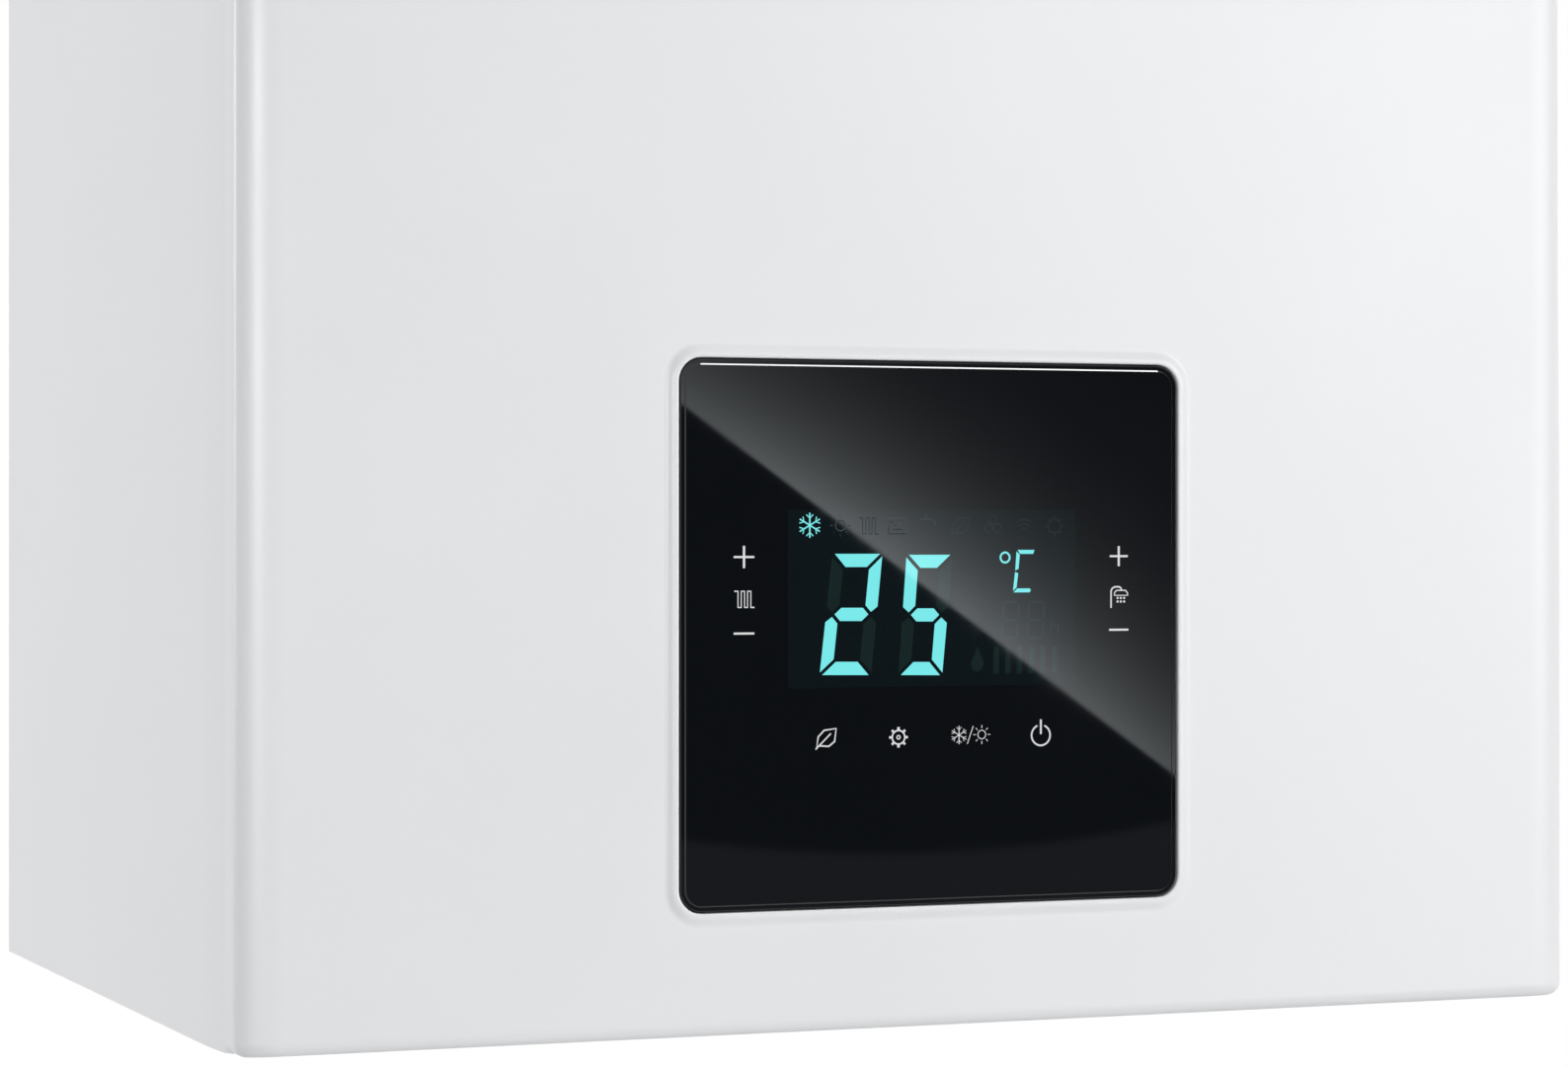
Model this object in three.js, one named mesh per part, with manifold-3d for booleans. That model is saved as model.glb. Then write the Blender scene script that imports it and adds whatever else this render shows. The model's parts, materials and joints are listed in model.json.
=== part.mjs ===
// Wall-mounted gas boiler with a touch-glass control panel.
// Millimetres, +Z up, +X to the right seen from the front. The front looks along -Y.
// The origin lies on the wall, at the middle of the hanging bracket's back face.

import * as THREE from 'three';
import { mergeVertices } from 'three/addons/utils/BufferGeometryUtils.js';
import Module from 'manifold-3d';

const wasm = await Module();
wasm.setup();

// Casing
const casingWidth = 400;
const casingHeight = 700;
const casingDepth = 302;
const topAboveOrigin = 60;
const sheet = 1;
const thickSheet = 2;
const panelFrontBend = 3;
const panelRearBend = 2;

// Clearances and cuts
const clearance = 0.3;
const overrun = 30;
const grain = 0.001;

// Front cover and its window
const coverReturn = 13.5;
const coverGap = 0.8;
const windowSize = 150;
const windowRadius = 6.5;
const windowAboveBottom = 33.6;
const windowLeftOfMiddle = 3.8;
const windowGap = 0.4;
const rimRise = 1;
const coverTabFromMiddle = 120;
const coverTabWidth = 24;
const coverTabLength = 18;
const screwRadius = 2;
const screwFromTabEnd = 8;

// Bays inside the casing
const lowerBay = 234;
const upperBay = 25;
const vesselBay = 96;
const frontBay = 26;
const chamberSideGap = 15;

// Rear frame and wall bracket
const frameStandOff = 10.8;
const frameSheet = 1.2;
const frameFlange = 25;
const bracketLipTop = 30;
const bracketLipOffset = 6;

// Flue
const flueBehindStackMiddle = 15;
const flueRadius = 30;
const flueSheet = 1.5;
const intakeRadius = 50;
const intakeAboveTop = 30;

// Burner stack
const stackSideGap = 55;
const stackFrontGap = 8;
const stackBackGap = 16;
const burnerHeight = 56;
const exchangerHeight = 64;
const exchangerInset = 5;
const hoodHeight = 40;
const insulationThickness = 10;
const electrodeFromMiddle = 40;
const electrodeAboveBurner = 8;
const electrodeRadius = 4;
const manifoldRadius = 8;
const manifoldAboveFloor = 30;

// Fan
const scrollDepth = 52;
const scrollMinRadius = 53;
const scrollMaxRadius = 64;
const fanOutletHalf = 28;
const fanAxisBelowOutlet = 75;
const fanOutletBelowRoof = 10;
const fanInletRadius = 34;
const fanMotorRadius = 34;
const fanMotorLength = 44;
const fanShaftRadius = 3;

// Water and gas ports under the casing
const portSpacing = 65;
const portFromWall = 105;
const portBelowCasing = 18;
const largePortRadius = 13.2;
const largePortBore = 9;
const smallPortRadius = 10.5;
const smallPortBore = 7;
const portHoleGap = 0.8;
const portFlangeHeight = 8;
const portNeck = 17;
const portFlangeGrip = 4;

// Hydraulic blocks, pump and exchanger
const blockDepth = 46;
const blockHeight = 50;
const pumpRadius = 45;
const pumpDepth = 38;
const pumpInsideRiser = 38;
const pumpBossRadius = 15;
const pumpCavityRadius = 34;
const pumpCavityDepth = 24;
const pumpShaftRadius = 4;
const riserSideGap = 35;
const waterPipeRadius = 8;
const gasPipeRadius = 7;
const pipeHoleGap = 1;
const vesselPipeRadius = 5;
const plateStackDepth = 45;
const diverterRadius = 17;
const diverterSpindleRadius = 2.5;
const diverterTravel = 6;
const safetyValveInsideRiser = 10;
const safetyValveRadius = 11;
const fillingStemRadius = 4;
const gasValveHeight = 76;
const gasValveDepth = 66;

// Pressure gauge
const gaugeRadius = 20;
const gaugeFromMiddle = -97.5;
const gaugeBehindControlBox = 43;
const gaugeSides = 20;

// Control box
const controlHalfWidth = 150;
const controlDepth = 54;
const controlBehindFront = 5;
const controlBelowGlass = 18.6;
const controlAboveGlass = 6.4;
const hingeAboveControlBottom = 4.5;
const hingeBehindControlFront = 1;
const hingePinRadius = 3;
const plasticWall = 2;
const glassThickness = 3;
const displayWidth = 100;
const displayHeight = 62;
const displayAboveWindowMiddle = 12;

// Planes that the sizes above give
const halfWidth = casingWidth / 2;
const casingTop = topAboveOrigin;
const casingBottom = casingTop - casingHeight;
const casingFront = -casingDepth;
const coverBack = casingFront + coverReturn;
const panelFront = coverBack + coverGap;
const innerHalf = halfWidth - sheet - clearance;
const deckFront = panelFront + panelFrontBend + clearance;
const deckInset = sheet + clearance;
const trayTop = casingBottom + deckInset + sheet;
const frameFront = -frameStandOff - frameSheet;
const frameFlangeFront = frameFront - frameFlange;
const chamberBottom = casingBottom + lowerBay;
const chamberTop = casingTop - upperBay;
const chamberBack = -vesselBay;
const chamberFront = casingFront + frontBay;
const chamberHalf = halfWidth - chamberSideGap;
const stackHalfWidth = chamberHalf - stackSideGap;
const stackFront = chamberFront + stackFrontGap;
const stackBack = chamberBack - stackBackGap;
const stackY = (stackFront + stackBack) / 2;
const exchangerHalfWidth = stackHalfWidth - exchangerInset;
const exchangerDepth = stackBack - stackFront - 2 * exchangerInset;
const riserFromMiddle = chamberHalf - riserSideGap;
const flueY = stackY + flueBehindStackMiddle;
const stackFloor = chamberBottom + sheet + clearance;
const burnerTop = stackFloor + burnerHeight;
const fanOutletTop = chamberTop - fanOutletBelowRoof;
const fanX = fanOutletHalf - scrollMaxRadius;
const fanZ = fanOutletTop - fanAxisBelowOutlet;
const hoodTop = fanZ - scrollMaxRadius + sheet + clearance;
const hoodBottom = hoodTop - hoodHeight;
const exchangerTop = hoodBottom - clearance;
const exchangerBottom = exchangerTop - exchangerHeight;
const exchangerMiddle = (exchangerTop + exchangerBottom) / 2;
const portY = -portFromWall;
const portEnd = casingBottom - portBelowCasing;
const blockBottom = trayTop + clearance + portFlangeHeight + portNeck + clearance;
const blockTop = blockBottom + blockHeight;
const blockFront = portY - blockDepth / 2;
const blockBack = portY + blockDepth / 2;
const pumpZ = blockTop + sheet + pumpRadius + thickSheet;
const pumpFace = blockFront - thickSheet;
const pumpX = riserFromMiddle - pumpInsideRiser;
const safetyValveX = riserFromMiddle - safetyValveInsideRiser;
const windowX = -windowLeftOfMiddle;
const windowZ = casingBottom + windowAboveBottom + windowSize / 2;
const controlFront = casingFront + controlBehindFront;
const controlBack = controlFront + controlDepth;
const gaugeY = controlBack + gaugeBehindControlBox;
const controlBottom = windowZ - windowSize / 2 - controlBelowGlass;
const controlTop = windowZ + windowSize / 2 + controlAboveGlass;
const hingeY = controlFront + hingeBehindControlFront;
const hingeZ = controlBottom + hingeAboveControlBottom;
const gasRunZ = (chamberBottom + controlTop) / 2;
const manifoldY = stackFront + thickSheet;
const manifoldZ = stackFloor + manifoldAboveFloor;

// Materials
function material(color, roughness, metalness) {
  return new THREE.MeshStandardMaterial({ color, roughness, metalness });
}

const whitePaint = material(0xe6e7e9, 0.45, 0);
const galvanised = material(0xb4b9bd, 0.45, 0.8);
const aluminised = material(0xa7abae, 0.5, 0.8);
const zinc = material(0xd2d4d6, 0.35, 0.9);
const copper = material(0xc47a52, 0.3, 0.9);
const brass = material(0xc9a557, 0.35, 0.9);
const stainless = material(0xc4c8cb, 0.3, 0.9);
const castAluminium = material(0xbfc2c5, 0.5, 0.7);
const fibre = material(0xe9e3d6, 0.95, 0);
const ceramic = material(0xf1eee6, 0.4, 0);
const blackPlastic = material(0x1c1d20, 0.5, 0);
const greyPlastic = material(0x6f7478, 0.6, 0);
const whitePlastic = material(0xe2e2de, 0.5, 0);
const redPlastic = material(0xb3272b, 0.45, 0);
const bluePlastic = material(0x2b5fa8, 0.45, 0);
const redPaint = material(0xa93a33, 0.4, 0.1);
const pumpPaint = material(0x3f4346, 0.5, 0.3);
const sealRubber = material(0x33353a, 0.85, 0);
const boardGreen = material(0x1f5c3b, 0.55, 0);
const clearGlass = material(0xdfe8ea, 0.05, 0);
const blackGlass = material(0x0e1116, 0.08, 0);

// Shapes, placed along one axis. The other two axes keep their order in X, Y, Z.
const unitX = new THREE.Vector3(1, 0, 0);
const unitY = new THREE.Vector3(0, 1, 0);
const unitZ = new THREE.Vector3(0, 0, 1);

function prism(axis, shape, from, to, curveSegments = 4) {
  const geometry = new THREE.ExtrudeGeometry(shape, {
    depth: to - from,
    bevelEnabled: false,
    curveSegments,
  });
  if (axis === 'x') {
    geometry.applyMatrix4(new THREE.Matrix4().makeBasis(unitY, unitZ, unitX));
    geometry.translate(from, 0, 0);
  } else if (axis === 'y') {
    geometry.applyMatrix4(new THREE.Matrix4().makeBasis(unitX, unitZ, unitY.clone().negate()));
    geometry.translate(0, to, 0);
  } else {
    geometry.translate(0, 0, from);
  }
  return geometry;
}

function outline(points) {
  return new THREE.Shape(points.map(([u, v]) => new THREE.Vector2(u, v)));
}

function roundedRectangle(middleU, middleV, width, height, radius) {
  const left = middleU - width / 2;
  const right = middleU + width / 2;
  const low = middleV - height / 2;
  const high = middleV + height / 2;
  const shape = new THREE.Shape();
  shape.moveTo(left + radius, low);
  shape.lineTo(right - radius, low);
  shape.absarc(right - radius, low + radius, radius, -Math.PI / 2, 0, false);
  shape.lineTo(right, high - radius);
  shape.absarc(right - radius, high - radius, radius, 0, Math.PI / 2, false);
  shape.lineTo(left + radius, high);
  shape.absarc(left + radius, high - radius, radius, Math.PI / 2, Math.PI, false);
  shape.lineTo(left, low + radius);
  shape.absarc(left + radius, low + radius, radius, Math.PI, Math.PI * 1.5, false);
  return shape;
}

function block([x0, x1], [y0, y1], [z0, z1]) {
  const geometry = new THREE.BoxGeometry(x1 - x0, y1 - y0, z1 - z0);
  geometry.translate((x0 + x1) / 2, (y0 + y1) / 2, (z0 + z1) / 2);
  return geometry;
}

function turnTo(geometry, axis, across) {
  if (axis === 'x') {
    geometry.rotateZ(-Math.PI / 2);
    geometry.translate(0, across[0], across[1]);
  } else if (axis === 'y') {
    geometry.translate(across[0], 0, across[1]);
  } else {
    geometry.rotateX(Math.PI / 2);
    geometry.translate(across[0], across[1], 0);
  }
  return geometry;
}

function rod(axis, radius, from, to, across, sides = 12) {
  const geometry = new THREE.CylinderGeometry(radius, radius, to - from, sides);
  geometry.translate(0, (from + to) / 2, 0);
  return turnTo(geometry, axis, across);
}

// The profile is a list of [radius, height] that runs up the outside.
function turned(axis, profile, across, sides = 24) {
  const points = profile.map(([radius, height]) => new THREE.Vector2(radius, height));
  return turnTo(new THREE.LatheGeometry(points, sides), axis, across);
}

function ring(axis, inner, outer, from, to, across, sides = 24) {
  const profile = [[inner, from], [outer, from], [outer, to], [inner, to], [inner, from]];
  return turned(axis, profile, across, sides);
}

// Joins and cuts. Every vertex goes to a fine grid first, so that faces meant to be flush are flush.
function toSolid(geometry) {
  const bare = geometry.clone();
  bare.deleteAttribute('normal');
  bare.deleteAttribute('uv');
  const places = bare.getAttribute('position').array;
  for (let i = 0; i < places.length; i += 1) {
    places[i] = Math.round(places[i] / grain) * grain;
  }
  const merged = mergeVertices(bare);
  const index = merged.getIndex().array;
  const triangles = [];
  for (let i = 0; i < index.length; i += 3) {
    const [a, b, c] = index.slice(i, i + 3);
    if (a !== b && b !== c && c !== a) {
      triangles.push(a, b, c);
    }
  }
  return new wasm.Manifold(new wasm.Mesh({
    numProp: 3,
    vertProperties: new Float32Array(merged.getAttribute('position').array),
    triVerts: new Uint32Array(triangles),
  }));
}

function toGeometry(solid) {
  const mesh = solid.getMesh();
  const geometry = new THREE.BufferGeometry();
  geometry.setAttribute('position', new THREE.BufferAttribute(mesh.vertProperties, 3));
  geometry.setIndex(new THREE.BufferAttribute(mesh.triVerts, 1));
  geometry.computeVertexNormals();
  return geometry;
}

function join(...geometries) {
  return toGeometry(geometries.map(toSolid).reduce((sum, next) => sum.add(next)));
}

function cut(base, ...tools) {
  return toGeometry(tools.map(toSolid).reduce((rest, tool) => rest.subtract(tool), toSolid(base)));
}

function common(...geometries) {
  return toGeometry(geometries.map(toSolid).reduce((kept, next) => kept.intersect(next)));
}

// A tube bent at the corners of a route
class BentRoute extends THREE.Curve {
  constructor(corners, bendRadius, bendSteps) {
    super();
    const at = corners.map((corner) => new THREE.Vector3(...corner));
    this.points = [at[0]];
    for (let i = 1; i < at.length - 1; i += 1) {
      const before = at[i - 1].clone().sub(at[i]).setLength(bendRadius).add(at[i]);
      const after = at[i + 1].clone().sub(at[i]).setLength(bendRadius).add(at[i]);
      const bend = new THREE.QuadraticBezierCurve3(before, at[i], after);
      this.points.push(...bend.getPoints(bendSteps));
    }
    this.points.push(at[at.length - 1]);
  }

  getPoint(share, target = new THREE.Vector3()) {
    const spans = this.points.length - 1;
    const place = Math.min(share, 1) * spans;
    const first = Math.min(Math.floor(place), spans - 1);
    return target.copy(this.points[first]).lerp(this.points[first + 1], place - first);
  }

  getUtoTmapping(share) {
    return share;
  }
}

function tube(corners, radius, bendRadius, sides = 8, bendSteps = 3) {
  const section = new THREE.Shape();
  for (let i = 0; i < sides; i += 1) {
    const angle = (Math.PI * 2 * i) / sides;
    const point = [radius * Math.cos(angle), radius * Math.sin(angle)];
    if (i === 0) {
      section.moveTo(...point);
    } else {
      section.lineTo(...point);
    }
  }
  const route = new BentRoute(corners, bendRadius, bendSteps);
  return new THREE.ExtrudeGeometry(section, {
    steps: route.points.length - 1,
    extrudePath: route,
  });
}

// The scene graph
const boiler = new THREE.Group();

function add(name, geometry, look, parent = boiler) {
  const mesh = new THREE.Mesh(geometry, look);
  mesh.name = name;
  parent.add(mesh);
}

// Wall bracket: a rail with an upturned lip
function wallBracket() {
  const halfLength = 150;
  const plateBottom = -30;
  const plateTop = 14;
  const holeRadius = 4;
  const holeZ = -8;
  const holeFromMiddle = [60, 120];
  const lipFront = -bracketLipOffset - thickSheet;
  const rail = prism('x', outline([
    [0, plateBottom],
    [0, plateTop],
    [-bracketLipOffset, plateTop],
    [-bracketLipOffset, bracketLipTop],
    [lipFront, bracketLipTop],
    [lipFront, plateTop - thickSheet],
    [-thickSheet, plateTop - thickSheet],
    [-thickSheet, plateBottom],
  ]), -halfLength, halfLength);
  const holes = holeFromMiddle.flatMap((x) => [x, -x])
    .map((x) => rod('y', holeRadius, -overrun, overrun, [x, holeZ], 12));
  return cut(rail, ...holes);
}

// Rear frame: a channel that hangs on the bracket and carries the chamber on two ledges
function rearFrame() {
  const hookHalf = 140;
  const hookDrop = 14;
  const hookBack = -bracketLipOffset + clearance + frameSheet;
  const ledgeWidth = 25;
  const ledgeHeight = 20;
  const ledgeEndGap = 5;
  const plateBottom = trayTop + clearance;
  const plateTop = casingTop - deckInset - sheet - clearance;
  const channel = prism('z', outline([
    [-innerHalf, -frameStandOff],
    [innerHalf, -frameStandOff],
    [innerHalf, frameFlangeFront],
    [innerHalf - frameSheet, frameFlangeFront],
    [innerHalf - frameSheet, frameFront],
    [-innerHalf + frameSheet, frameFront],
    [-innerHalf + frameSheet, frameFlangeFront],
    [-innerHalf, frameFlangeFront],
  ]), plateBottom, plateTop);
  const hookTop = bracketLipTop + clearance + frameSheet;
  const hook = prism('x', outline([
    [-frameStandOff - frameSheet / 2, hookTop],
    [hookBack, hookTop],
    [hookBack, bracketLipTop - hookDrop],
    [hookBack - frameSheet, bracketLipTop - hookDrop],
    [hookBack - frameSheet, bracketLipTop + clearance],
    [-frameStandOff - frameSheet / 2, bracketLipTop + clearance],
  ]), -hookHalf, hookHalf);
  const ledgeTop = chamberBottom - clearance;
  const ledgeBack = frameFront + frameSheet / 2;
  const ledgeFront = chamberFront + ledgeEndGap;
  const ledges = [-1, 1].map((side) => prism('y', outline([
    [side * innerHalf, ledgeTop],
    [side * (innerHalf - ledgeWidth), ledgeTop],
    [side * (innerHalf - ledgeWidth), ledgeTop - frameSheet],
    [side * (innerHalf - frameSheet), ledgeTop - frameSheet],
    [side * (innerHalf - frameSheet), ledgeTop - ledgeHeight],
    [side * innerHalf, ledgeTop - ledgeHeight],
  ]), ledgeFront, ledgeBack));
  return join(channel, hook, ...ledges);
}

// Side panels: bent sheet with a rounded front edge
function sidePanel(side) {
  const frontFlange = 12;
  const rearFlange = 14;
  const frontBend = panelFrontBend;
  const rearBend = panelRearBend;
  const outer = halfWidth;
  const inner = halfWidth - sheet;
  const shape = new THREE.Shape();
  const line = (x, y) => shape.lineTo(side * x, y);
  const bend = (cornerX, cornerY, x, y) => shape.quadraticCurveTo(side * cornerX, cornerY, side * x, y);
  shape.moveTo(side * (outer - rearFlange), 0);
  line(outer - rearBend, 0);
  bend(outer, 0, outer, -rearBend);
  line(outer, panelFront + frontBend);
  bend(outer, panelFront, outer - frontBend, panelFront);
  line(outer - frontFlange, panelFront);
  line(outer - frontFlange, panelFront + sheet);
  line(outer - frontBend, panelFront + sheet);
  bend(inner, panelFront + sheet, inner, panelFront + frontBend);
  line(inner, -rearBend);
  bend(inner, -sheet, outer - rearBend, -sheet);
  line(outer - rearFlange, -sheet);
  return prism('z', shape, casingBottom, casingTop, 3);
}

// Top panel and bottom tray share one deck: a plate with flanges turned into the casing. The side
// flanges stop short of the rear frame.
function deck(face, inward, flangeHeight) {
  const flangeHalf = innerHalf - sheet;
  const flangeEnd = frameFlangeFront - clearance;
  const plateBack = -panelRearBend - clearance;
  const span = (from, to) => [Math.min(from, to), Math.max(from, to)];
  const hollow = outline([
    [-flangeHalf, deckFront + sheet],
    [flangeHalf, deckFront + sheet],
    [flangeHalf, flangeEnd],
    [flangeHalf + overrun, flangeEnd],
    [flangeHalf + overrun, plateBack + overrun],
    [-flangeHalf - overrun, plateBack + overrun],
    [-flangeHalf - overrun, flangeEnd],
    [-flangeHalf, flangeEnd],
  ]);
  return cut(
    block([-innerHalf, innerHalf], [deckFront, plateBack], span(face, face + inward * flangeHeight)),
    prism('z', hollow, ...span(face + inward * sheet, face + inward * (flangeHeight + overrun))),
  );
}

function topPanel() {
  const flangeHeight = 12;
  return cut(
    deck(casingTop - deckInset, -1, flangeHeight),
    rod('z', intakeRadius + clearance, chamberTop, casingTop, [0, flueY], 24),
  );
}

// The five ports, left to right: heating flow, hot water, gas, cold water, heating return
const flowX = -2 * portSpacing;
const hotX = -portSpacing;
const gasX = 0;
const coldX = portSpacing;
const returnX = 2 * portSpacing;
const fillingX = (coldX + returnX) / 2;

function bottomTray() {
  const flangeHeight = 8;
  const earThickness = 3;
  const earReach = 16;
  const earRise = 7;
  const earFront = hingeY - hingePinRadius - clearance;
  const earX = controlHalfWidth + sheet;
  const screwBoss = 4.5;
  const screwBossHeight = 5;
  const screwY = coverBack + coverTabLength - screwFromTabEnd;
  const holes = [
    [flowX, portY, largePortRadius + portHoleGap],
    [hotX, portY, smallPortRadius + portHoleGap],
    [gasX, portY, largePortRadius + portHoleGap],
    [coldX, portY, smallPortRadius + portHoleGap],
    [returnX, portY, largePortRadius + portHoleGap],
    [fillingX, portY, fillingStemRadius + portHoleGap],
    [-coverTabFromMiddle, screwY, screwRadius + clearance],
    [coverTabFromMiddle, screwY, screwRadius + clearance],
  ].map(([x, y, radius]) => rod('z', radius, casingBottom - overrun, trayTop + overrun, [x, y]));
  holes.push(rod('z', gaugeRadius + clearance, casingBottom - overrun, trayTop + overrun,
    [gaugeFromMiddle, gaugeY], gaugeSides));
  const ears = [-1, 1].map((side) => {
    const edges = [side * earX, side * (earX + earThickness)].sort((a, b) => a - b);
    const ear = block(edges, [earFront, hingeY + earReach], [trayTop - sheet / 2, hingeZ + earRise]);
    return cut(ear, rod('x', hingePinRadius + clearance, edges[0] - overrun, edges[1] + overrun,
      [hingeY, hingeZ]));
  });
  const bosses = [-1, 1].map((side) => rod('z', screwBoss, trayTop - sheet / 2, trayTop + screwBossHeight,
    [side * coverTabFromMiddle, screwY], 12));
  return cut(join(deck(casingBottom + deckInset, 1, flangeHeight), ...bosses, ...ears), ...holes);
}

// Front cover: rounded shell, open at the back, with a raised rim around its window
const coverEdgeWidth = 12;
const coverEdgeDepth = 5;
const coverEndRadius = 4;

function coverBody(inset, back) {
  const side = halfWidth - inset;
  const face = casingFront + inset;
  const low = casingBottom + inset;
  const high = casingTop - inset;
  const edgeWidth = coverEdgeWidth - inset;
  const edgeDepth = coverEdgeDepth - inset;
  const endRadius = coverEndRadius - inset;
  const plan = new THREE.Shape();
  plan.moveTo(-side, back);
  plan.lineTo(-side, face + edgeDepth);
  plan.absellipse(-side + edgeWidth, face + edgeDepth, edgeWidth, edgeDepth,
    Math.PI, Math.PI * 1.5, false, 0);
  plan.lineTo(side - edgeWidth, face);
  plan.absellipse(side - edgeWidth, face + edgeDepth, edgeWidth, edgeDepth,
    -Math.PI / 2, 0, false, 0);
  plan.lineTo(side, back);
  const section = new THREE.Shape();
  section.moveTo(back, low);
  section.lineTo(face + endRadius, low);
  section.absarc(face + endRadius, low + endRadius, endRadius, -Math.PI / 2, -Math.PI, true);
  section.lineTo(face, high - endRadius);
  section.absarc(face + endRadius, high - endRadius, endRadius, Math.PI, Math.PI / 2, true);
  section.lineTo(back, high);
  const front = roundedRectangle(0, (low + high) / 2, 2 * side, high - low, endRadius);
  return common(
    prism('z', plan, low - overrun, high + overrun, 4),
    prism('x', section, -side - overrun, side + overrun, 2),
    prism('y', front, face - overrun, back + overrun, 2),
  );
}

function frontCover() {
  const rimWidth = 4;
  const lipDepth = 4;
  const rimFace = casingFront - rimRise;
  const windowShape = (grow) => roundedRectangle(windowX, windowZ, windowSize + 2 * grow,
    windowSize + 2 * grow, windowRadius + grow);
  const shell = cut(coverBody(0, coverBack), coverBody(sheet, coverBack + overrun));
  const rim = prism('y', windowShape(rimWidth), rimFace, casingFront + sheet);
  const lip = prism('y', windowShape(sheet), rimFace, rimFace + lipDepth);
  const opening = prism('y', windowShape(0), rimFace - overrun, rimFace + lipDepth + overrun);
  const tabY = [coverBack - sheet, coverBack + coverTabLength];
  const tabs = [-1, 1].flatMap((side) => {
    const middle = side * coverTabFromMiddle;
    const tabX = [middle - coverTabWidth / 2, middle + coverTabWidth / 2];
    return [
      block(tabX, tabY, [casingTop - sheet, casingTop]),
      block(tabX, tabY, [casingBottom, casingBottom + sheet]),
    ];
  });
  const slotHalf = screwRadius + clearance;
  const slots = [-1, 1].map((side) => block(
    [side * coverTabFromMiddle - slotHalf, side * coverTabFromMiddle + slotHalf],
    [coverBack + coverTabLength - screwFromTabEnd - slotHalf, coverBack + coverTabLength + overrun],
    [casingBottom - overrun, casingBottom + sheet + clearance],
  ));
  return cut(join(shell, rim, lip, ...tabs), opening, ...slots);
}

function coverScrew(side) {
  const headRadius = 4;
  const headHeight = 1.4;
  const recess = 0.7;
  const recessRadius = 1.8;
  const shankAboveTray = 7;
  const headTop = casingBottom - clearance;
  const at = [side * coverTabFromMiddle, coverBack + coverTabLength - screwFromTabEnd];
  return cut(
    join(
      rod('z', headRadius, headTop - headHeight, headTop, at, 16),
      rod('z', screwRadius, headTop - headHeight / 2, trayTop + shankAboveTray, at, 12),
    ),
    rod('z', recessRadius, headTop - headHeight - overrun, headTop - headHeight + recess, at, 6),
  );
}

add('wall_bracket', wallBracket(), galvanised);
add('rear_frame', rearFrame(), galvanised);
add('left_side_panel', sidePanel(-1), whitePaint);
add('right_side_panel', sidePanel(1), whitePaint);
add('top_panel', topPanel(), whitePaint);
add('bottom_tray', bottomTray(), whitePaint);
add('front_cover', frontCover(), whitePaint);
add('cover_screw_left', coverScrew(-1), zinc);
add('cover_screw_right', coverScrew(1), zinc);

// Sealed chamber with a flange for its lid
const chamberFlange = 8;
const sealThickness = 2.4;
const lidBack = chamberFront - clearance - sealThickness - clearance;
const sightX = 60;
const sightAboveBurner = 30;
const sightRadius = 15;

function sealedChamber() {
  const outerHalf = chamberHalf + chamberFlange;
  const body = join(
    block([-chamberHalf, chamberHalf], [chamberFront, chamberBack], [chamberBottom, chamberTop]),
    block([-outerHalf, outerHalf], [chamberFront, chamberFront + sheet],
      [chamberBottom - chamberFlange, chamberTop + chamberFlange]),
  );
  return cut(
    body,
    block([-chamberHalf + sheet, chamberHalf - sheet], [chamberFront - overrun, chamberBack - sheet],
      [chamberBottom + sheet, chamberTop - sheet]),
    rod('z', intakeRadius - flueSheet, chamberTop - overrun, chamberTop + overrun, [0, flueY], 24),
    rod('z', waterPipeRadius + pipeHoleGap, chamberBottom - overrun, stackFloor,
      [-riserFromMiddle, stackY]),
    rod('z', waterPipeRadius + pipeHoleGap, chamberBottom - overrun, stackFloor, [riserFromMiddle, portY]),
    rod('z', gasPipeRadius + pipeHoleGap, chamberBottom - overrun, stackFloor, [0, manifoldY]),
  );
}

function lidSeal() {
  const y = [lidBack + clearance, lidBack + clearance + sealThickness];
  const inner = chamberHalf - sheet;
  const outer = chamberHalf + chamberFlange - sheet;
  const growth = outer - chamberHalf;
  return cut(
    block([-outer, outer], y, [chamberBottom - growth, chamberTop + growth]),
    block([-inner, inner], [y[0] - overrun, y[1] + overrun], [chamberBottom + sheet, chamberTop - sheet]),
  );
}

function chamberLid() {
  const outer = chamberHalf + chamberFlange;
  const y = [lidBack - sheet, lidBack];
  const embossInset = 30;
  const embossRise = 1;
  const emboss = block([-chamberHalf + embossInset, chamberHalf - embossInset], [y[0] - embossRise, y[1]],
    [chamberBottom + embossInset, chamberTop - embossInset]);
  return cut(
    join(block([-outer, outer], y, [chamberBottom - chamberFlange, chamberTop + chamberFlange]), emboss),
    rod('y', sightRadius, y[0] - overrun, y[1] + overrun, [sightX, burnerTop + sightAboveBurner], 20),
  );
}

function sightGlass() {
  const rimGrowth = 5;
  const rimThickness = 2;
  const seat = lidBack - thickSheet - clearance;
  const profile = [
    [0, seat - rimThickness],
    [sightRadius + rimGrowth, seat - rimThickness],
    [sightRadius + rimGrowth, seat],
    [sightRadius - clearance, seat],
    [sightRadius - clearance, lidBack],
    [0, lidBack],
  ];
  return turned('y', profile, [sightX, burnerTop + sightAboveBurner], 20);
}

add('sealed_chamber', sealedChamber(), aluminised);
add('chamber_lid_seal', lidSeal(), sealRubber);
add('sealed_chamber_lid', chamberLid(), aluminised);
add('sight_glass', sightGlass(), clearGlass);

// Burner: bars across a frame that stands on the chamber floor
const barCount = 12;
const barEndGap = 18;
const firstBarInset = 36;
const firstBar = -stackHalfWidth + firstBarInset;
const barPitch = (-2 * firstBar) / (barCount - 1);
const manifoldReach = stackHalfWidth - thickSheet;
const manifoldBossAboveFloor = 8;
const manifoldBossBottom = chamberBottom + manifoldBossAboveFloor;

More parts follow.
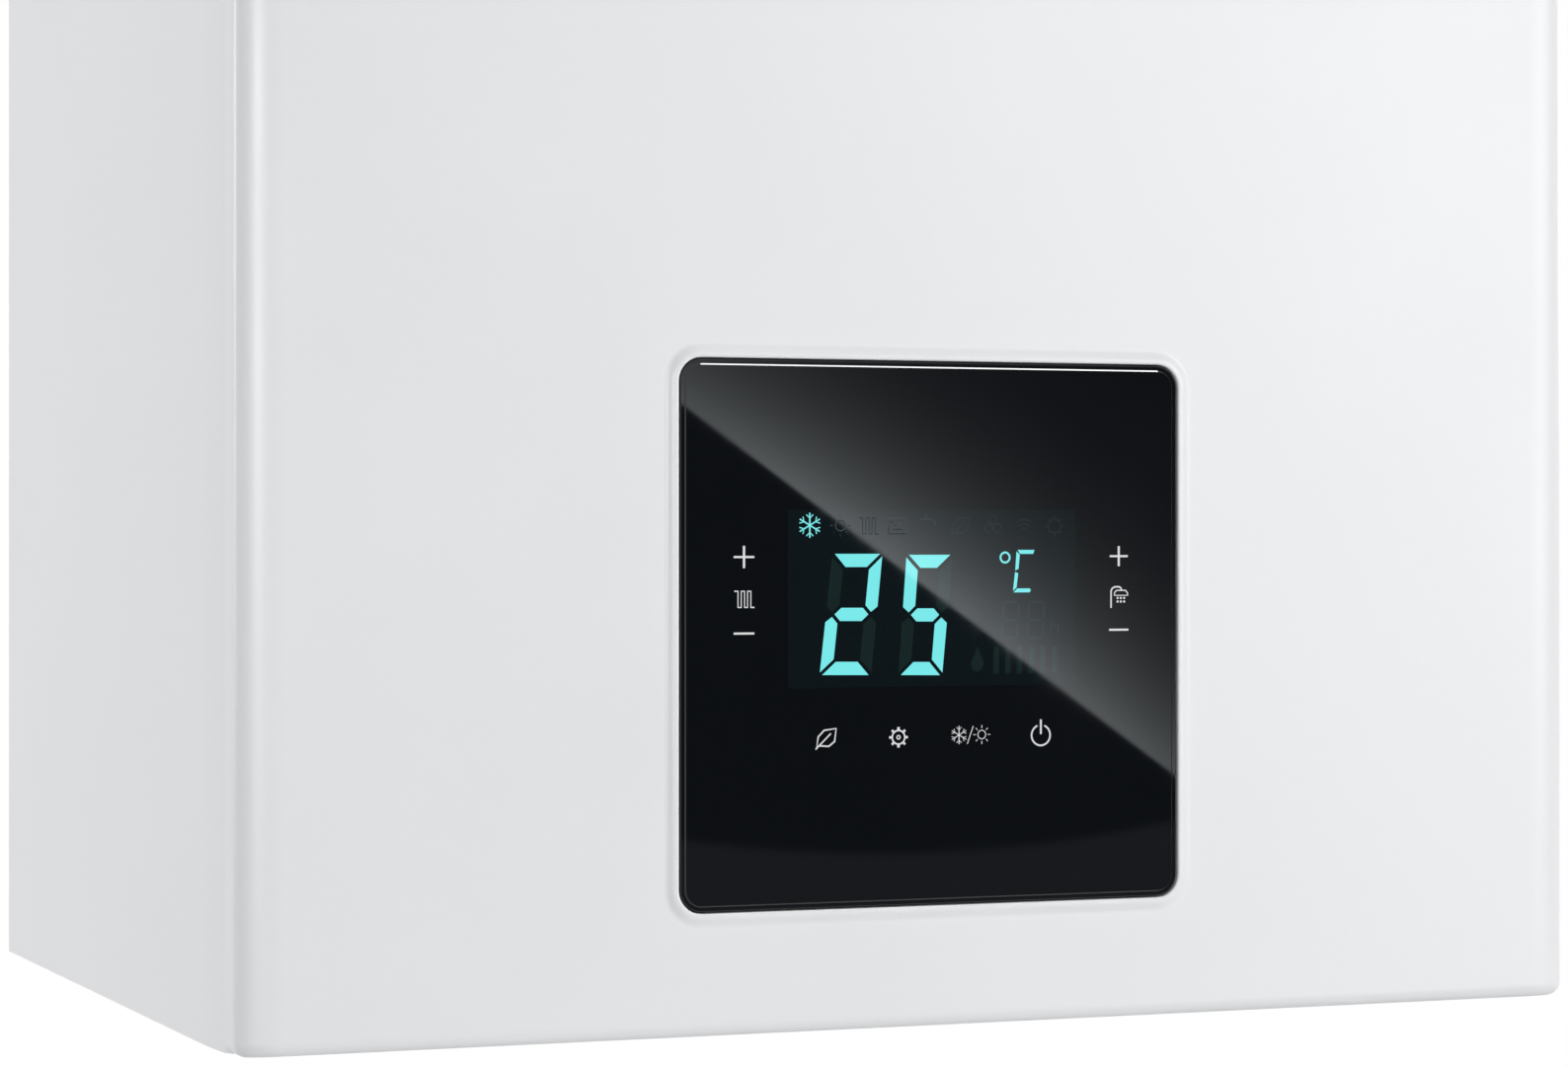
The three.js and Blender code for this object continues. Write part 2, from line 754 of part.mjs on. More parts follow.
function burnerBars() {
  const barHalf = 5.5;
  const shelf = 12;
  const shoulder = 10;
  const tipHalf = 3;
  const barY = [stackFront + barEndGap, stackBack - barEndGap];
  const shelfZ = [stackFloor + shelf, stackFloor + shelf + thickSheet];
  const bars = [];
  for (let i = 0; i < barCount; i += 1) {
    const x = firstBar + i * barPitch;
    bars.push(prism('y', outline([
      [x - barHalf, shelfZ[0]],
      [x + barHalf, shelfZ[0]],
      [x + barHalf, burnerTop - shoulder],
      [x + tipHalf, burnerTop - electrodeRadius],
      [x - tipHalf, burnerTop - electrodeRadius],
      [x - barHalf, burnerTop - shoulder],
    ]), ...barY));
  }
  const sides = [-1, 1].map((side) => block(
    [side * stackHalfWidth, side * manifoldReach].sort((a, b) => a - b),
    [stackFront, stackBack],
    [stackFloor, burnerTop],
  ));
  const shelfPlate = block([-stackHalfWidth, stackHalfWidth], barY, shelfZ);
  return join(shelfPlate, ...sides, ...bars);
}

function gasManifold() {
  const nozzleRadius = 2.5;
  const bossRadius = 10;
  const reach = manifoldReach - clearance;
  const nozzleEnd = stackFront + barEndGap - clearance;
  const nozzles = [];
  for (let i = 0; i < barCount; i += 1) {
    nozzles.push(rod('y', nozzleRadius, manifoldY, nozzleEnd, [firstBar + i * barPitch, manifoldZ], 6));
  }
  return join(
    rod('x', manifoldRadius, -reach, reach, [manifoldY, manifoldZ], 12),
    rod('z', bossRadius, manifoldBossBottom, manifoldZ, [0, manifoldY], 12),
    ...nozzles,
  );
}

const combustionBottom = burnerTop + clearance;
const combustionTop = exchangerBottom - clearance;
const electrodeZ = combustionBottom + electrodeAboveBurner;

function electrodeHoles() {
  const radius = electrodeRadius + clearance;
  return [-1, 1].map((side) => rod('y', radius, stackFront - overrun,
    stackFront + sheet + insulationThickness + overrun / 2, [side * electrodeFromMiddle, electrodeZ], 10));
}

function combustionChamber() {
  const inner = stackHalfWidth - sheet;
  return cut(
    block([-stackHalfWidth, stackHalfWidth], [stackFront, stackBack], [combustionBottom, combustionTop]),
    block([-inner, inner], [stackFront + sheet, stackBack - sheet],
      [combustionBottom - overrun, combustionTop + overrun]),
    ...electrodeHoles(),
  );
}

function chamberInsulation() {
  const skin = sheet + clearance;
  const outer = stackHalfWidth - skin;
  const inner = outer - insulationThickness;
  return cut(
    block([-outer, outer], [stackFront + skin, stackBack - skin], [combustionBottom, combustionTop]),
    block([-inner, inner], [stackFront + skin + insulationThickness, stackBack - skin - insulationThickness],
      [combustionBottom - overrun, combustionTop + overrun]),
    ...electrodeHoles(),
  );
}

function electrode(x, bends) {
  const ceramicOutside = 11;
  const ceramicInside = 18;
  const ceramicFront = stackFront - ceramicOutside;
  const ceramicBack = stackFront + ceramicInside;
  const plateHalf = 8;
  const wireRadius = 1.2;
  const tipReach = 16;
  const tipDrop = 5;
  const wireEnd = ceramicBack + tipReach;
  const wire = bends
    ? tube([[x, ceramicBack - tipDrop, electrodeZ], [x, wireEnd, electrodeZ],
      [x, wireEnd + tipDrop, electrodeZ - tipDrop]], wireRadius, tipDrop / 2, 6, 2)
    : tube([[x, ceramicBack - tipDrop, electrodeZ], [x, wireEnd + tipDrop, electrodeZ]],
      wireRadius, tipDrop, 6);
  return join(
    rod('y', electrodeRadius, ceramicFront, ceramicBack, [x, electrodeZ], 10),
    block([x - plateHalf, x + plateHalf], [stackFront - thickSheet - clearance, stackFront - clearance],
      [electrodeZ - plateHalf / 2 - sheet, electrodeZ + plateHalf / 2 + sheet]),
    wire,
  );
}

// Heat exchanger: finned core in a copper jacket, with an elbow down at each end
const exchangerNutBelowMiddle = 38;
const exchangerNutTop = exchangerMiddle - exchangerNutBelowMiddle;
const exchangerNutHeight = 18;
const exchangerArmRadius = 9;

function heatExchanger() {
  const jacket = 1.5;
  const finThickness = 1.6;
  const finCount = 15;
  const finMargin = 4;
  const coreHalf = 11;
  const nutRadius = 13;
  const hairpinRadius = 6;
  const hairpinReach = 14;
  const hairpinHalf = 14;
  const hairpinY = [stackY - exchangerDepth / 4, stackY + exchangerDepth / 4];
  const y = [stackY - exchangerDepth / 2, stackY + exchangerDepth / 2];
  const innerY = [y[0] + jacket / 2, y[1] - jacket / 2];
  const flanges = [
    [exchangerBottom, exchangerBottom + jacket],
    [exchangerTop - jacket, exchangerTop],
  ].map((z) => block([-stackHalfWidth, stackHalfWidth], [stackFront, stackBack], z));
  const shell = cut(
    join(block([-exchangerHalfWidth, exchangerHalfWidth], y, [exchangerBottom, exchangerTop]), ...flanges),
    block([-exchangerHalfWidth + jacket, exchangerHalfWidth - jacket], [y[0] + jacket, y[1] - jacket],
      [exchangerBottom - overrun, exchangerTop + overrun]),
  );
  const pitch = (2 * exchangerHalfWidth) / (finCount + 1);
  const fins = [];
  for (let i = 1; i <= finCount; i += 1) {
    const x = -exchangerHalfWidth + i * pitch;
    fins.push(block([x - finThickness / 2, x + finThickness / 2], innerY,
      [exchangerBottom + finMargin, exchangerTop - finMargin]));
  }
  const core = block([-exchangerHalfWidth + jacket / 2, exchangerHalfWidth - jacket / 2],
    [innerY[0], innerY[1]], [exchangerMiddle - coreHalf, exchangerMiddle + coreHalf]);
  const arms = [-1, 1].flatMap((side) => {
    const across = [side * (exchangerHalfWidth - jacket / 2), side * (riserFromMiddle + exchangerArmRadius)];
    const [low, high] = across.sort((a, b) => a - b);
    const riser = [side * riserFromMiddle, stackY];
    return [
      rod('x', exchangerArmRadius, low, high, [stackY, exchangerMiddle], 12),
      rod('z', exchangerArmRadius, exchangerNutTop - sheet, exchangerMiddle, riser, 12),
      rod('z', nutRadius, exchangerNutTop - exchangerNutHeight, exchangerNutTop, riser, 6),
    ];
  });
  const hairpins = [-1, 1].flatMap((side) => hairpinY.map((middle) => tube([
    [side * (exchangerHalfWidth - jacket / 2), middle - hairpinHalf, exchangerMiddle],
    [side * (exchangerHalfWidth + hairpinReach), middle - hairpinHalf, exchangerMiddle],
    [side * (exchangerHalfWidth + hairpinReach), middle + hairpinHalf, exchangerMiddle],
    [side * (exchangerHalfWidth - jacket / 2), middle + hairpinHalf, exchangerMiddle],
  ], hairpinRadius, hairpinHalf - sheet, 6, 2)));
  return join(shell, core, ...fins, ...arms, ...hairpins);
}

function overheatThermostat() {
  const radius = 8;
  const discHeight = 8;
  const tabHalf = 1;
  const tabLength = 6;
  const tabWidth = 3;
  const aboveNut = 12;
  const z = exchangerNutTop + aboveNut;
  const seat = stackY - exchangerArmRadius - clearance;
  const x = -riserFromMiddle;
  const tabs = [-1, 1].map((side) => {
    const middle = x + side * radius / 2;
    return block([middle - tabHalf, middle + tabHalf], [seat - discHeight - tabLength, seat - discHeight / 2],
      [z - tabWidth, z + tabWidth]);
  });
  return join(rod('y', radius, seat - discHeight, seat, [x, z], 16), ...tabs);
}

// Flue hood: a funnel over the exchanger with an upright duct behind the fan
const ductFront = flueY + scrollDepth / 2 + clearance;
const ductHalf = 46;
const ductAboveAxis = 42;

function flueHood() {
  const x = [-stackHalfWidth, stackHalfWidth];
  const y = [stackFront, stackBack];
  const ductX = [fanX - ductHalf, fanX + ductHalf];
  const shrink = ([low, high]) => [low + sheet, high - sheet];
  const ductTop = fanZ + ductAboveAxis;
  return cut(
    join(block(x, y, [hoodBottom, hoodTop]), block(ductX, [ductFront, stackBack], [hoodBottom, ductTop])),
    block(shrink(x), shrink(y), [hoodBottom - overrun, hoodTop - sheet]),
    block(shrink(ductX), shrink([ductFront, stackBack]), [hoodBottom, ductTop - sheet]),
    rod('y', fanInletRadius, ductFront - overrun, ductFront + sheet + clearance, [fanX, fanZ], 20),
  );
}

add('burner_bars', burnerBars(), stainless);
add('gas_manifold', gasManifold(), brass);
add('combustion_chamber', combustionChamber(), aluminised);
add('chamber_insulation', chamberInsulation(), fibre);
add('ignition_electrode', electrode(-electrodeFromMiddle, true), ceramic);
add('flame_sensing_electrode', electrode(electrodeFromMiddle, false), ceramic);
add('heat_exchanger', heatExchanger(), copper);
add('overheat_thermostat', overheatThermostat(), blackPlastic);
add('flue_hood', flueHood(), aluminised);

// Fan, modelled around its shaft
const fan = new THREE.Group();
fan.position.set(fanX, flueY, fanZ);
boiler.add(fan);

const scrollCutoffAngle = 80;
const scrollSteps = 14;

function scrollOutline(inset, top) {
  const shape = new THREE.Shape();
  const growth = scrollMaxRadius - scrollMinRadius;
  for (let i = 0; i <= scrollSteps; i += 1) {
    const share = i / scrollSteps;
    const angle = THREE.MathUtils.degToRad(scrollCutoffAngle + (360 - scrollCutoffAngle) * share);
    const radius = scrollMinRadius + growth * share - inset;
    const point = [radius * Math.cos(angle), radius * Math.sin(angle)];
    if (i === 0) {
      shape.moveTo(...point);
    } else {
      shape.lineTo(...point);
    }
  }
  shape.lineTo(scrollMaxRadius - inset, top);
  shape.lineTo(scrollMaxRadius - 2 * fanOutletHalf + inset, top);
  return shape;
}

function fanHousing() {
  const half = scrollDepth / 2;
  return cut(
    prism('y', scrollOutline(0, fanAxisBelowOutlet), -half, half),
    prism('y', scrollOutline(flueSheet, fanAxisBelowOutlet + overrun), -half + flueSheet, half - flueSheet),
    rod('y', fanInletRadius, half - flueSheet - clearance, half + overrun, [0, 0], 20),
    rod('y', fanShaftRadius + clearance, -half - overrun, -half + flueSheet + clearance, [0, 0], 12),
  );
}

function fanMotor() {
  const half = scrollDepth / 2;
  const face = -half - clearance;
  const bodyBack = face - thickSheet;
  const bodyFront = face - fanMotorLength;
  const capRadius = 12;
  const capLength = 4;
  const flangeReach = 6;
  const shaftSocket = 12;
  return cut(
    join(
      rod('y', fanMotorRadius, face - thickSheet, face, [0, 0], 20),
      rod('y', fanMotorRadius - flangeReach, bodyFront, bodyBack + sheet, [0, 0], 20),
      rod('y', capRadius, bodyFront - capLength, bodyFront + sheet, [0, 0], 12),
    ),
    rod('y', fanShaftRadius + clearance, face - shaftSocket, face + overrun, [0, 0], 12),
  );
}

function fanImpeller() {
  const outer = 46;
  const inner = 36;
  const bladeCount = 12;
  const bladeThickness = 1.2;
  const discThickness = 1.6;
  const ringWidth = 5;
  const hubRadius = 9;
  const hubLength = 14;
  const endGap = 3;
  const shaftReach = 10;
  const half = scrollDepth / 2 - flueSheet;
  const front = -half + endGap;
  const back = half - endGap;
  const shaftEnd = -scrollDepth / 2 - clearance - shaftReach;
  const blades = [];
  for (let i = 0; i < bladeCount; i += 1) {
    const blade = block([inner, outer - sheet / 2], [front + discThickness / 2, back - discThickness / 2],
      [-bladeThickness / 2, bladeThickness / 2]);
    blade.rotateY((Math.PI * 2 * i) / bladeCount);
    blades.push(blade);
  }
  return join(
    rod('y', outer, front, front + discThickness, [0, 0], 20),
    ring('y', outer - ringWidth, outer, back - discThickness, back, [0, 0], 20),
    rod('y', hubRadius, front, front + hubLength, [0, 0], 12),
    rod('y', fanShaftRadius, shaftEnd, front + hubLength / 2, [0, 0], 12),
    ...blades,
  );
}

add('fan_housing', fanHousing(), aluminised, fan);
add('fan_motor', fanMotor(), castAluminium, fan);
add('fan_impeller', fanImpeller(), stainless, fan);

// Flue: the inner duct for burnt gas and the collar for intake air, around one axis
const flue = new THREE.Group();
flue.position.set(0, flueY, casingTop);
boiler.add(flue);

function flueDuct() {
  const socket = fanOutletTop + clearance - casingTop;
  return ring('z', flueRadius - flueSheet, flueRadius, socket, intakeAboveTop, [0, 0], 24);
}

function intakeCollar() {
  const flangeRadius = 70;
  const flangeThickness = 3;
  const lower = chamberTop + clearance - casingTop;
  const seat = clearance - deckInset;
  const inner = intakeRadius - flueSheet;
  const profile = [
    [inner, lower],
    [intakeRadius, lower],
    [intakeRadius, seat],
    [flangeRadius, seat],
    [flangeRadius, seat + flangeThickness],
    [intakeRadius, seat + flangeThickness],
    [intakeRadius, intakeAboveTop],
    [inner, intakeAboveTop],
    [inner, lower],
  ];
  return turned('z', profile, [0, 0], 24);
}

function pressureSwitch() {
  const radius = 30;
  const rimReach = 3;
  const depth = 18;
  const nippleRadius = 3;
  const nippleLength = 10;
  const nippleFromMiddle = 12;
  const seat = chamberBack - sheet - clearance;
  const x = chamberHalf - 2 * radius;
  const z = fanZ + radius;
  const nipples = [-1, 1].map((side) => rod('y', nippleRadius, seat - depth - nippleLength, seat - depth / 2,
    [x, z + side * nippleFromMiddle], 8));
  const waist = rod('y', radius - rimReach, seat - depth, seat, [x, z], 16);
  const rim = rod('y', radius, seat - depth / 2 - sheet, seat - depth / 2 + sheet, [x, z], 16);
  return join(waist, rim, ...nipples);
}

add('flue_duct', flueDuct(), castAluminium, flue);
add('air_intake_collar', intakeCollar(), castAluminium, flue);
add('air_pressure_switch', pressureSwitch(), whitePlastic);

// Expansion vessel: a flat round-cornered vessel on the rear frame
const vesselHeight = 350;
const vesselSideGap = 35;
const vesselHalfWidth = chamberHalf - vesselSideGap;
const vesselPipeInset = 25;
const vesselPipeFromMiddle = vesselHalfWidth - vesselPipeInset;
const vesselGap = 7.7;
const vesselRound = 18;
const vesselMiddle = (chamberTop + chamberBottom) / 2;
const vesselNippleEnd = vesselMiddle - vesselHeight / 2 - vesselRound;
const vesselPipeY = (frameFront + chamberBack) / 2;

function expansionVessel() {
  const back = frameFront - clearance;
  const front = chamberBack + vesselGap;
  const cornerRadius = 30;
  const nippleRadius = 9;
  const shape = roundedRectangle(0, 0, 2 * (vesselHalfWidth - vesselRound),
    vesselHeight - 2 * vesselRound, cornerRadius);
  const shell = new THREE.ExtrudeGeometry(shape, {
    depth: back - front - 2 * vesselRound,
    bevelEnabled: true,
    bevelSize: vesselRound,
    bevelThickness: vesselRound,
    bevelSegments: 2,
    curveSegments: 3,
  });
  shell.applyMatrix4(new THREE.Matrix4().makeBasis(unitX, unitZ, unitY.clone().negate()));
  shell.translate(0, back - vesselRound, vesselMiddle);
  const nipple = rod('z', nippleRadius, vesselNippleEnd, vesselMiddle - vesselHeight / 2 + vesselRound,
    [vesselPipeFromMiddle, vesselPipeY], 6);
  return join(shell, nipple);
}

function vesselPipe() {
  const bendRadius = 14;
  const entryZ = blockBottom + blockHeight / 2;
  return tube([
    [vesselPipeFromMiddle, vesselPipeY, vesselNippleEnd - clearance],
    [vesselPipeFromMiddle, vesselPipeY, entryZ],
    [vesselPipeFromMiddle, blockBack + clearance, entryZ],
  ], vesselPipeRadius, bendRadius);
}

add('expansion_vessel', expansionVessel(), redPaint);
add('vessel_pipe', vesselPipe(), copper);

// Brass blocks above the ports
const blockPastRiser = 15;
const blockPastPort = 17;
const blockOuter = riserFromMiddle + blockPastRiser;
const blockInner = coldX - blockPastPort;
const diverterHeight = 42;
const diverterTop = blockTop + diverterHeight;
const diverterBoreRadius = 8;
const boreAboveBlockBottom = 14;
const boreBottom = blockBottom + boreAboveBlockBottom;

function flowBlock() {
  const at = [flowX, portY];
  return cut(
    join(
      block([-blockOuter, -blockInner], [blockFront, blockBack], [blockBottom, blockTop]),
      rod('z', diverterRadius, blockTop - sheet, diverterTop, at, 16),
    ),
    rod('z', diverterBoreRadius, boreBottom, diverterTop + overrun, at, 12),
  );
}

function diverterSpindle() {
  const plugRadius = 6.5;
  const plugHeight = 6;
  const reach = 12;
  const low = boreBottom + clearance + diverterTravel;
  const top = diverterTop + reach;
  return join(
    rod('z', plugRadius, low, low + plugHeight, [0, 0], 12),
    rod('z', diverterSpindleRadius, low + plugHeight / 2, top, [0, 0], 8),
  );
}

function diverterMotor() {
  const radius = 20;
  const height = 52;
  const collarHeight = 6;
  const seat = diverterTop + clearance;
  const spigotRadius = diverterBoreRadius - clearance;
  const spigotDepth = 8;
  const spindleRoom = 13;
  const plugReach = 12;
  const plugRoot = 8;
  const plugHalf = 8;
  return cut(
    join(
      rod('z', radius, seat, seat + collarHeight, [0, 0], 16),
      rod('z', radius - thickSheet, seat + collarHeight / 2, seat + height, [0, 0], 16),
      rod('z', spigotRadius, seat - spigotDepth, seat + sheet, [0, 0]),
      block([-radius - plugReach, -radius + plugRoot], [-plugHalf, plugHalf],
        [seat + height / 2, seat + height - sheet]),
    ),
    rod('z', diverterSpindleRadius + clearance, seat - spigotDepth - overrun,
      seat + spindleRoom + diverterTravel, [0, 0], 8),
  );
}

function returnBlock() {
  const bossRadius = 9;
  const bossLength = 20;
  const boss = [blockBottom - bossLength, blockBottom + sheet];
  return cut(
    join(
      block([blockInner, blockOuter], [blockFront, blockBack], [blockBottom, blockTop]),
      rod('z', bossRadius, ...boss, [fillingX, portY], 12),
    ),
    rod('z', fillingStemRadius + clearance, boss[0] - overrun, blockBottom + sheet, [fillingX, portY], 12),
  );
}

function plateHeatExchanger() {
  const pipeRoom = 25;
  const halfWidthOfPlates = vesselPipeFromMiddle - pipeRoom;
  const height = 63;
  const endPlate = 3;
  const plateCount = 6;
  const groove = 2;
  const cornerRadius = 10;
  const front = blockBack + clearance;
  const middle = (blockBottom + blockTop) / 2;
  const core = roundedRectangle(0, middle, 2 * (halfWidthOfPlates - groove), height - 2 * groove,
    cornerRadius);
  const plate = roundedRectangle(0, middle, 2 * halfWidthOfPlates, height, cornerRadius);
  const pitch = plateStackDepth / plateCount;
  const plates = [];
  for (let i = 0; i < plateCount; i += 1) {
    const start = front + i * pitch;
    plates.push(prism('y', plate, start, start + endPlate, 1));
  }
  return join(prism('y', core, front, front + plateStackDepth - groove, 1), ...plates);
}

const diverter = new THREE.Group();
diverter.position.set(flowX, portY, 0);
boiler.add(diverter);

add('flow_block', flowBlock(), brass);
add('diverter_spindle', diverterSpindle(), stainless, diverter);
add('diverter_motor', diverterMotor(), whitePlastic, diverter);
add('return_block', returnBlock(), brass);
add('plate_heat_exchanger', plateHeatExchanger(), stainless);

// Connections: threaded nipples with a hexagon that sits on the tray
function connection(x, radius, bore) {
  const seat = trayTop + clearance;
  const top = blockBottom - clearance;
  return cut(
    join(
      rod('z', radius, portEnd, seat + sheet, [x, portY]),
      rod('z', radius + portFlangeGrip, seat, seat + portFlangeHeight, [x, portY], 6),
      rod('z', radius - sheet, seat + portFlangeHeight / 2, top, [x, portY]),
    ),
    rod('z', bore, portEnd - overrun, top + overrun, [x, portY]),
  );
}

add('flow_connection', connection(flowX, largePortRadius, largePortBore), brass);
add('hot_water_connection', connection(hotX, smallPortRadius, smallPortBore), brass);
add('cold_water_connection', connection(coldX, smallPortRadius, smallPortBore), brass);
add('return_connection', connection(returnX, largePortRadius, largePortBore), brass);

// Pump, modelled around its shaft
const pump = new THREE.Group();
pump.position.set(pumpX, pumpFace, pumpZ);
boiler.add(pump);

const towerRadius = 15;
const towerFromAxis = -30;
const towerTop = 74;
const ventNippleRadius = 7;
const ventNippleHeight = 10;
const pumpOutletTop = 58;

function pumpHousing() {
  const middleY = portY - pumpFace;
  const riser = pumpInsideRiser;
  const inletBottom = blockTop + clearance - pumpZ;
  const towerAt = [towerFromAxis, middleY];
  const bossTop = towerTop - ventNippleHeight;
  return cut(
    join(
      rod('y', pumpRadius, 0, pumpDepth, [0, 0], 16),
      rod('z', pumpBossRadius, inletBottom, 0, [0, middleY]),
      rod('z', pumpBossRadius - thickSheet, 0, pumpOutletTop, [riser, middleY]),
      rod('z', towerRadius, 0, bossTop, towerAt),
      rod('z', ventNippleRadius, bossTop - sheet, towerTop, towerAt),
    ),
    rod('y', pumpCavityRadius, -overrun, pumpCavityDepth, [0, 0], 16),
  );
}

function pumpMotor() {
  const flangeThickness = 6;
  const canRadius = 40;
  const socketDepth = 20;
  const capRadius = 12;
  const rearGap = 8;
  const boxReach = 20;
  const boxHalf = 24;
  const face = -clearance;
  const canFront = controlBack + rearGap - pumpFace;
  const boxY = [canFront + rearGap, face - flangeThickness - rearGap];
  return cut(
    join(
      rod('y', pumpRadius, face - flangeThickness, face, [0, 0], 16),
      rod('y', canRadius, canFront + sheet, face - flangeThickness / 2, [0, 0], 16),
      rod('y', capRadius, canFront, canFront + thickSheet, [0, 0], 12),
      block([-canRadius - boxReach, -canRadius + boxReach], boxY, [-boxHalf, boxHalf]),
    ),
    rod('y', pumpShaftRadius + clearance, face - socketDepth, face + overrun, [0, 0], 12),
  );
}

function pumpImpeller() {
  const radius = 30;
  const shroud = 2;
  const eyeRadius = 12;
  const bladeCount = 6;
  const shaftReach = 18;
  const frontGap = 4;
  const backGap = 6;
  const front = frontGap;
  const back = pumpCavityDepth - backGap;
  const blades = [];
  for (let i = 0; i < bladeCount; i += 1) {
    const blade = block([eyeRadius - sheet, radius - sheet], [front + shroud / 2, back - shroud / 2],
      [-sheet, sheet]);
    blade.rotateY((Math.PI * 2 * i) / bladeCount);
    blades.push(blade);
  }
  return join(
    rod('y', radius, front, front + shroud, [0, 0], 16),
    ring('y', eyeRadius, radius, back - shroud, back, [0, 0], 16),
    rod('y', pumpShaftRadius, -shaftReach, front + shroud / 2, [0, 0], 12),
    ...blades,
  );
}

function ventCap() {
  const radius = 9;
  const height = 13;
  const skirt = 6;
  const seat = towerTop - skirt;
  const at = [towerFromAxis, portY - pumpFace];
  const notchCount = 8;
  const notchRadius = 1.2;
  const notches = [];
  for (let i = 0; i < notchCount; i += 1) {
    const angle = (Math.PI * 2 * i) / notchCount;
    const place = [at[0] + radius * Math.cos(angle), at[1] + radius * Math.sin(angle)];
    notches.push(rod('z', notchRadius, seat - overrun, seat + height + overrun, place, 6));
  }
  return cut(
    rod('z', radius, seat, seat + height, at),
    rod('z', ventNippleRadius + clearance, seat - overrun, towerTop + clearance, at, 12),
    ...notches,
  );
}

add('pump_housing', pumpHousing(), castAluminium, pump);
add('pump_motor', pumpMotor(), pumpPaint, pump);
add('pump_impeller', pumpImpeller(), blackPlastic, pump);
add('air_vent_cap', ventCap(), blackPlastic, pump);

// Risers between the blocks and the exchanger
const waterBend = 22;

function flowPipe() {
  const entryZ = blockBottom + blockHeight / 2;
  return tube([
    [-riserFromMiddle, stackY, exchangerNutTop - exchangerNutHeight - clearance],
    [-riserFromMiddle, stackY, entryZ],
    [-riserFromMiddle, blockFront - clearance, entryZ],
  ], waterPipeRadius, waterBend);
}

function returnPipe() {
  const crossAboveFloor = 36;
  const crossRise = 50;
  const crossLow = chamberBottom + crossAboveFloor;
  const crossHigh = crossLow + crossRise;
  return tube([
    [riserFromMiddle, portY, pumpZ + pumpOutletTop + clearance],
    [riserFromMiddle, portY, crossLow],
    [riserFromMiddle, stackY, crossHigh],
    [riserFromMiddle, stackY, exchangerNutTop - exchangerNutHeight - clearance],
  ], waterPipeRadius, waterBend);
}

add('heating_flow_pipe', flowPipe(), copper);
add('heating_return_pipe', returnPipe(), copper);

// Gas line
const gasValveGap = 6;
const gasValveBottom = blockTop + gasValveGap;
const gasOutletAheadOfPort = 12;
const gasOutletY = portY - gasOutletAheadOfPort;
const gasOutletHeight = 6;

function gasInletPipe() {
  const seat = trayTop + clearance;
  const top = gasValveBottom - clearance;
  const pipeRadius = largePortRadius - thickSheet;
  return cut(
    join(
      rod('z', largePortRadius, portEnd, seat + sheet, [gasX, portY]),
      rod('z', largePortRadius + portFlangeGrip, seat, seat + portFlangeHeight, [gasX, portY], 6),
      rod('z', pipeRadius, seat + portFlangeHeight / 2, top, [gasX, portY]),
    ),
    rod('z', largePortBore, portEnd - overrun, top + overrun, [gasX, portY]),
  );
}

function gasValve() {
  const halfBody = 32;
  const step = 8;
  const backInset = 3;
  const back = blockBack - backInset;
  const front = back - gasValveDepth;
  const top = gasValveBottom + gasValveHeight;
  const coilRadius = 17;
  const coilReach = 36;
  const coilHeightShare = 0.72;
  const coilZ = gasValveBottom + gasValveHeight * coilHeightShare;
  const bossRadius = 13;
  const tapRadius = 4;
  const tapReach = 8;
  const tapRise = 20;
  const tapZ = gasValveBottom + tapRise;
  const taps = [-1, 1].map((side) => rod('y', tapRadius, front - tapReach, front + sheet,
    [side * halfBody / 2, tapZ], 8));
  return join(
    block([-halfBody, halfBody], [front, back], [gasValveBottom + sheet, top - sheet]),
    block([-halfBody + step, halfBody - step], [front + step, back], [gasValveBottom, top]),
    rod('y', coilRadius, front - coilReach, front + sheet, [0, coilZ], 16),
    rod('z', bossRadius, top - sheet, top + gasOutletHeight, [gasX, gasOutletY], 6),
    ...taps,
  );
}

function gasFeedPipe() {
  const bendRadius = 20;
  return tube([
    [gasX, gasOutletY, gasValveBottom + gasValveHeight + gasOutletHeight + clearance],
    [gasX, gasOutletY, gasRunZ],
    [gasX, manifoldY, gasRunZ],
    [gasX, manifoldY, manifoldBossBottom - clearance],
  ], gasPipeRadius, bendRadius);
}

add('gas_inlet_pipe', gasInletPipe(), brass);
add('gas_valve', gasValve(), castAluminium);
add('gas_feed_pipe', gasFeedPipe(), copper);

// Safety valve and its knob, around one axis that points to the front
const safetyAboveBlockBottom = 24;
const safetyZ = blockBottom + safetyAboveBlockBottom;
const safetyLength = 32;

function safetyValve() {
  const outletRadius = 6;
  const outletDrop = 22;
  const hexagonGrip = 3;
  const hexagonWidth = 8;
  const y = [blockFront - clearance - safetyLength, blockFront - clearance];
  const middle = (y[0] + y[1]) / 2;
  const hexagon = [y[1] - hexagonWidth - sheet, y[1] - sheet];
  return join(
    rod('y', safetyValveRadius, ...y, [safetyValveX, safetyZ], 16),
    rod('y', safetyValveRadius + hexagonGrip, ...hexagon, [safetyValveX, safetyZ], 6),
    rod('z', outletRadius, safetyZ - outletDrop, safetyZ, [safetyValveX, middle], 12),
  );
}

function gripKnob(axis, radius, from, to, across, notchCount) {
  const notchRadiusShare = 0.14;
  const notchPlaceShare = 1.02;
  const notchRadius = radius * notchRadiusShare;
  const middleRadius = radius * notchPlaceShare;
  const notches = [];
  for (let i = 0; i < notchCount; i += 1) {
    const angle = (Math.PI * 2 * i) / notchCount;
    const place = [across[0] + middleRadius * Math.cos(angle), across[1] + middleRadius * Math.sin(angle)];
    notches.push(rod(axis, notchRadius, from - overrun, to + overrun, place, 6));
  }
  return cut(rod(axis, radius, from, to, across, 20), ...notches);
}

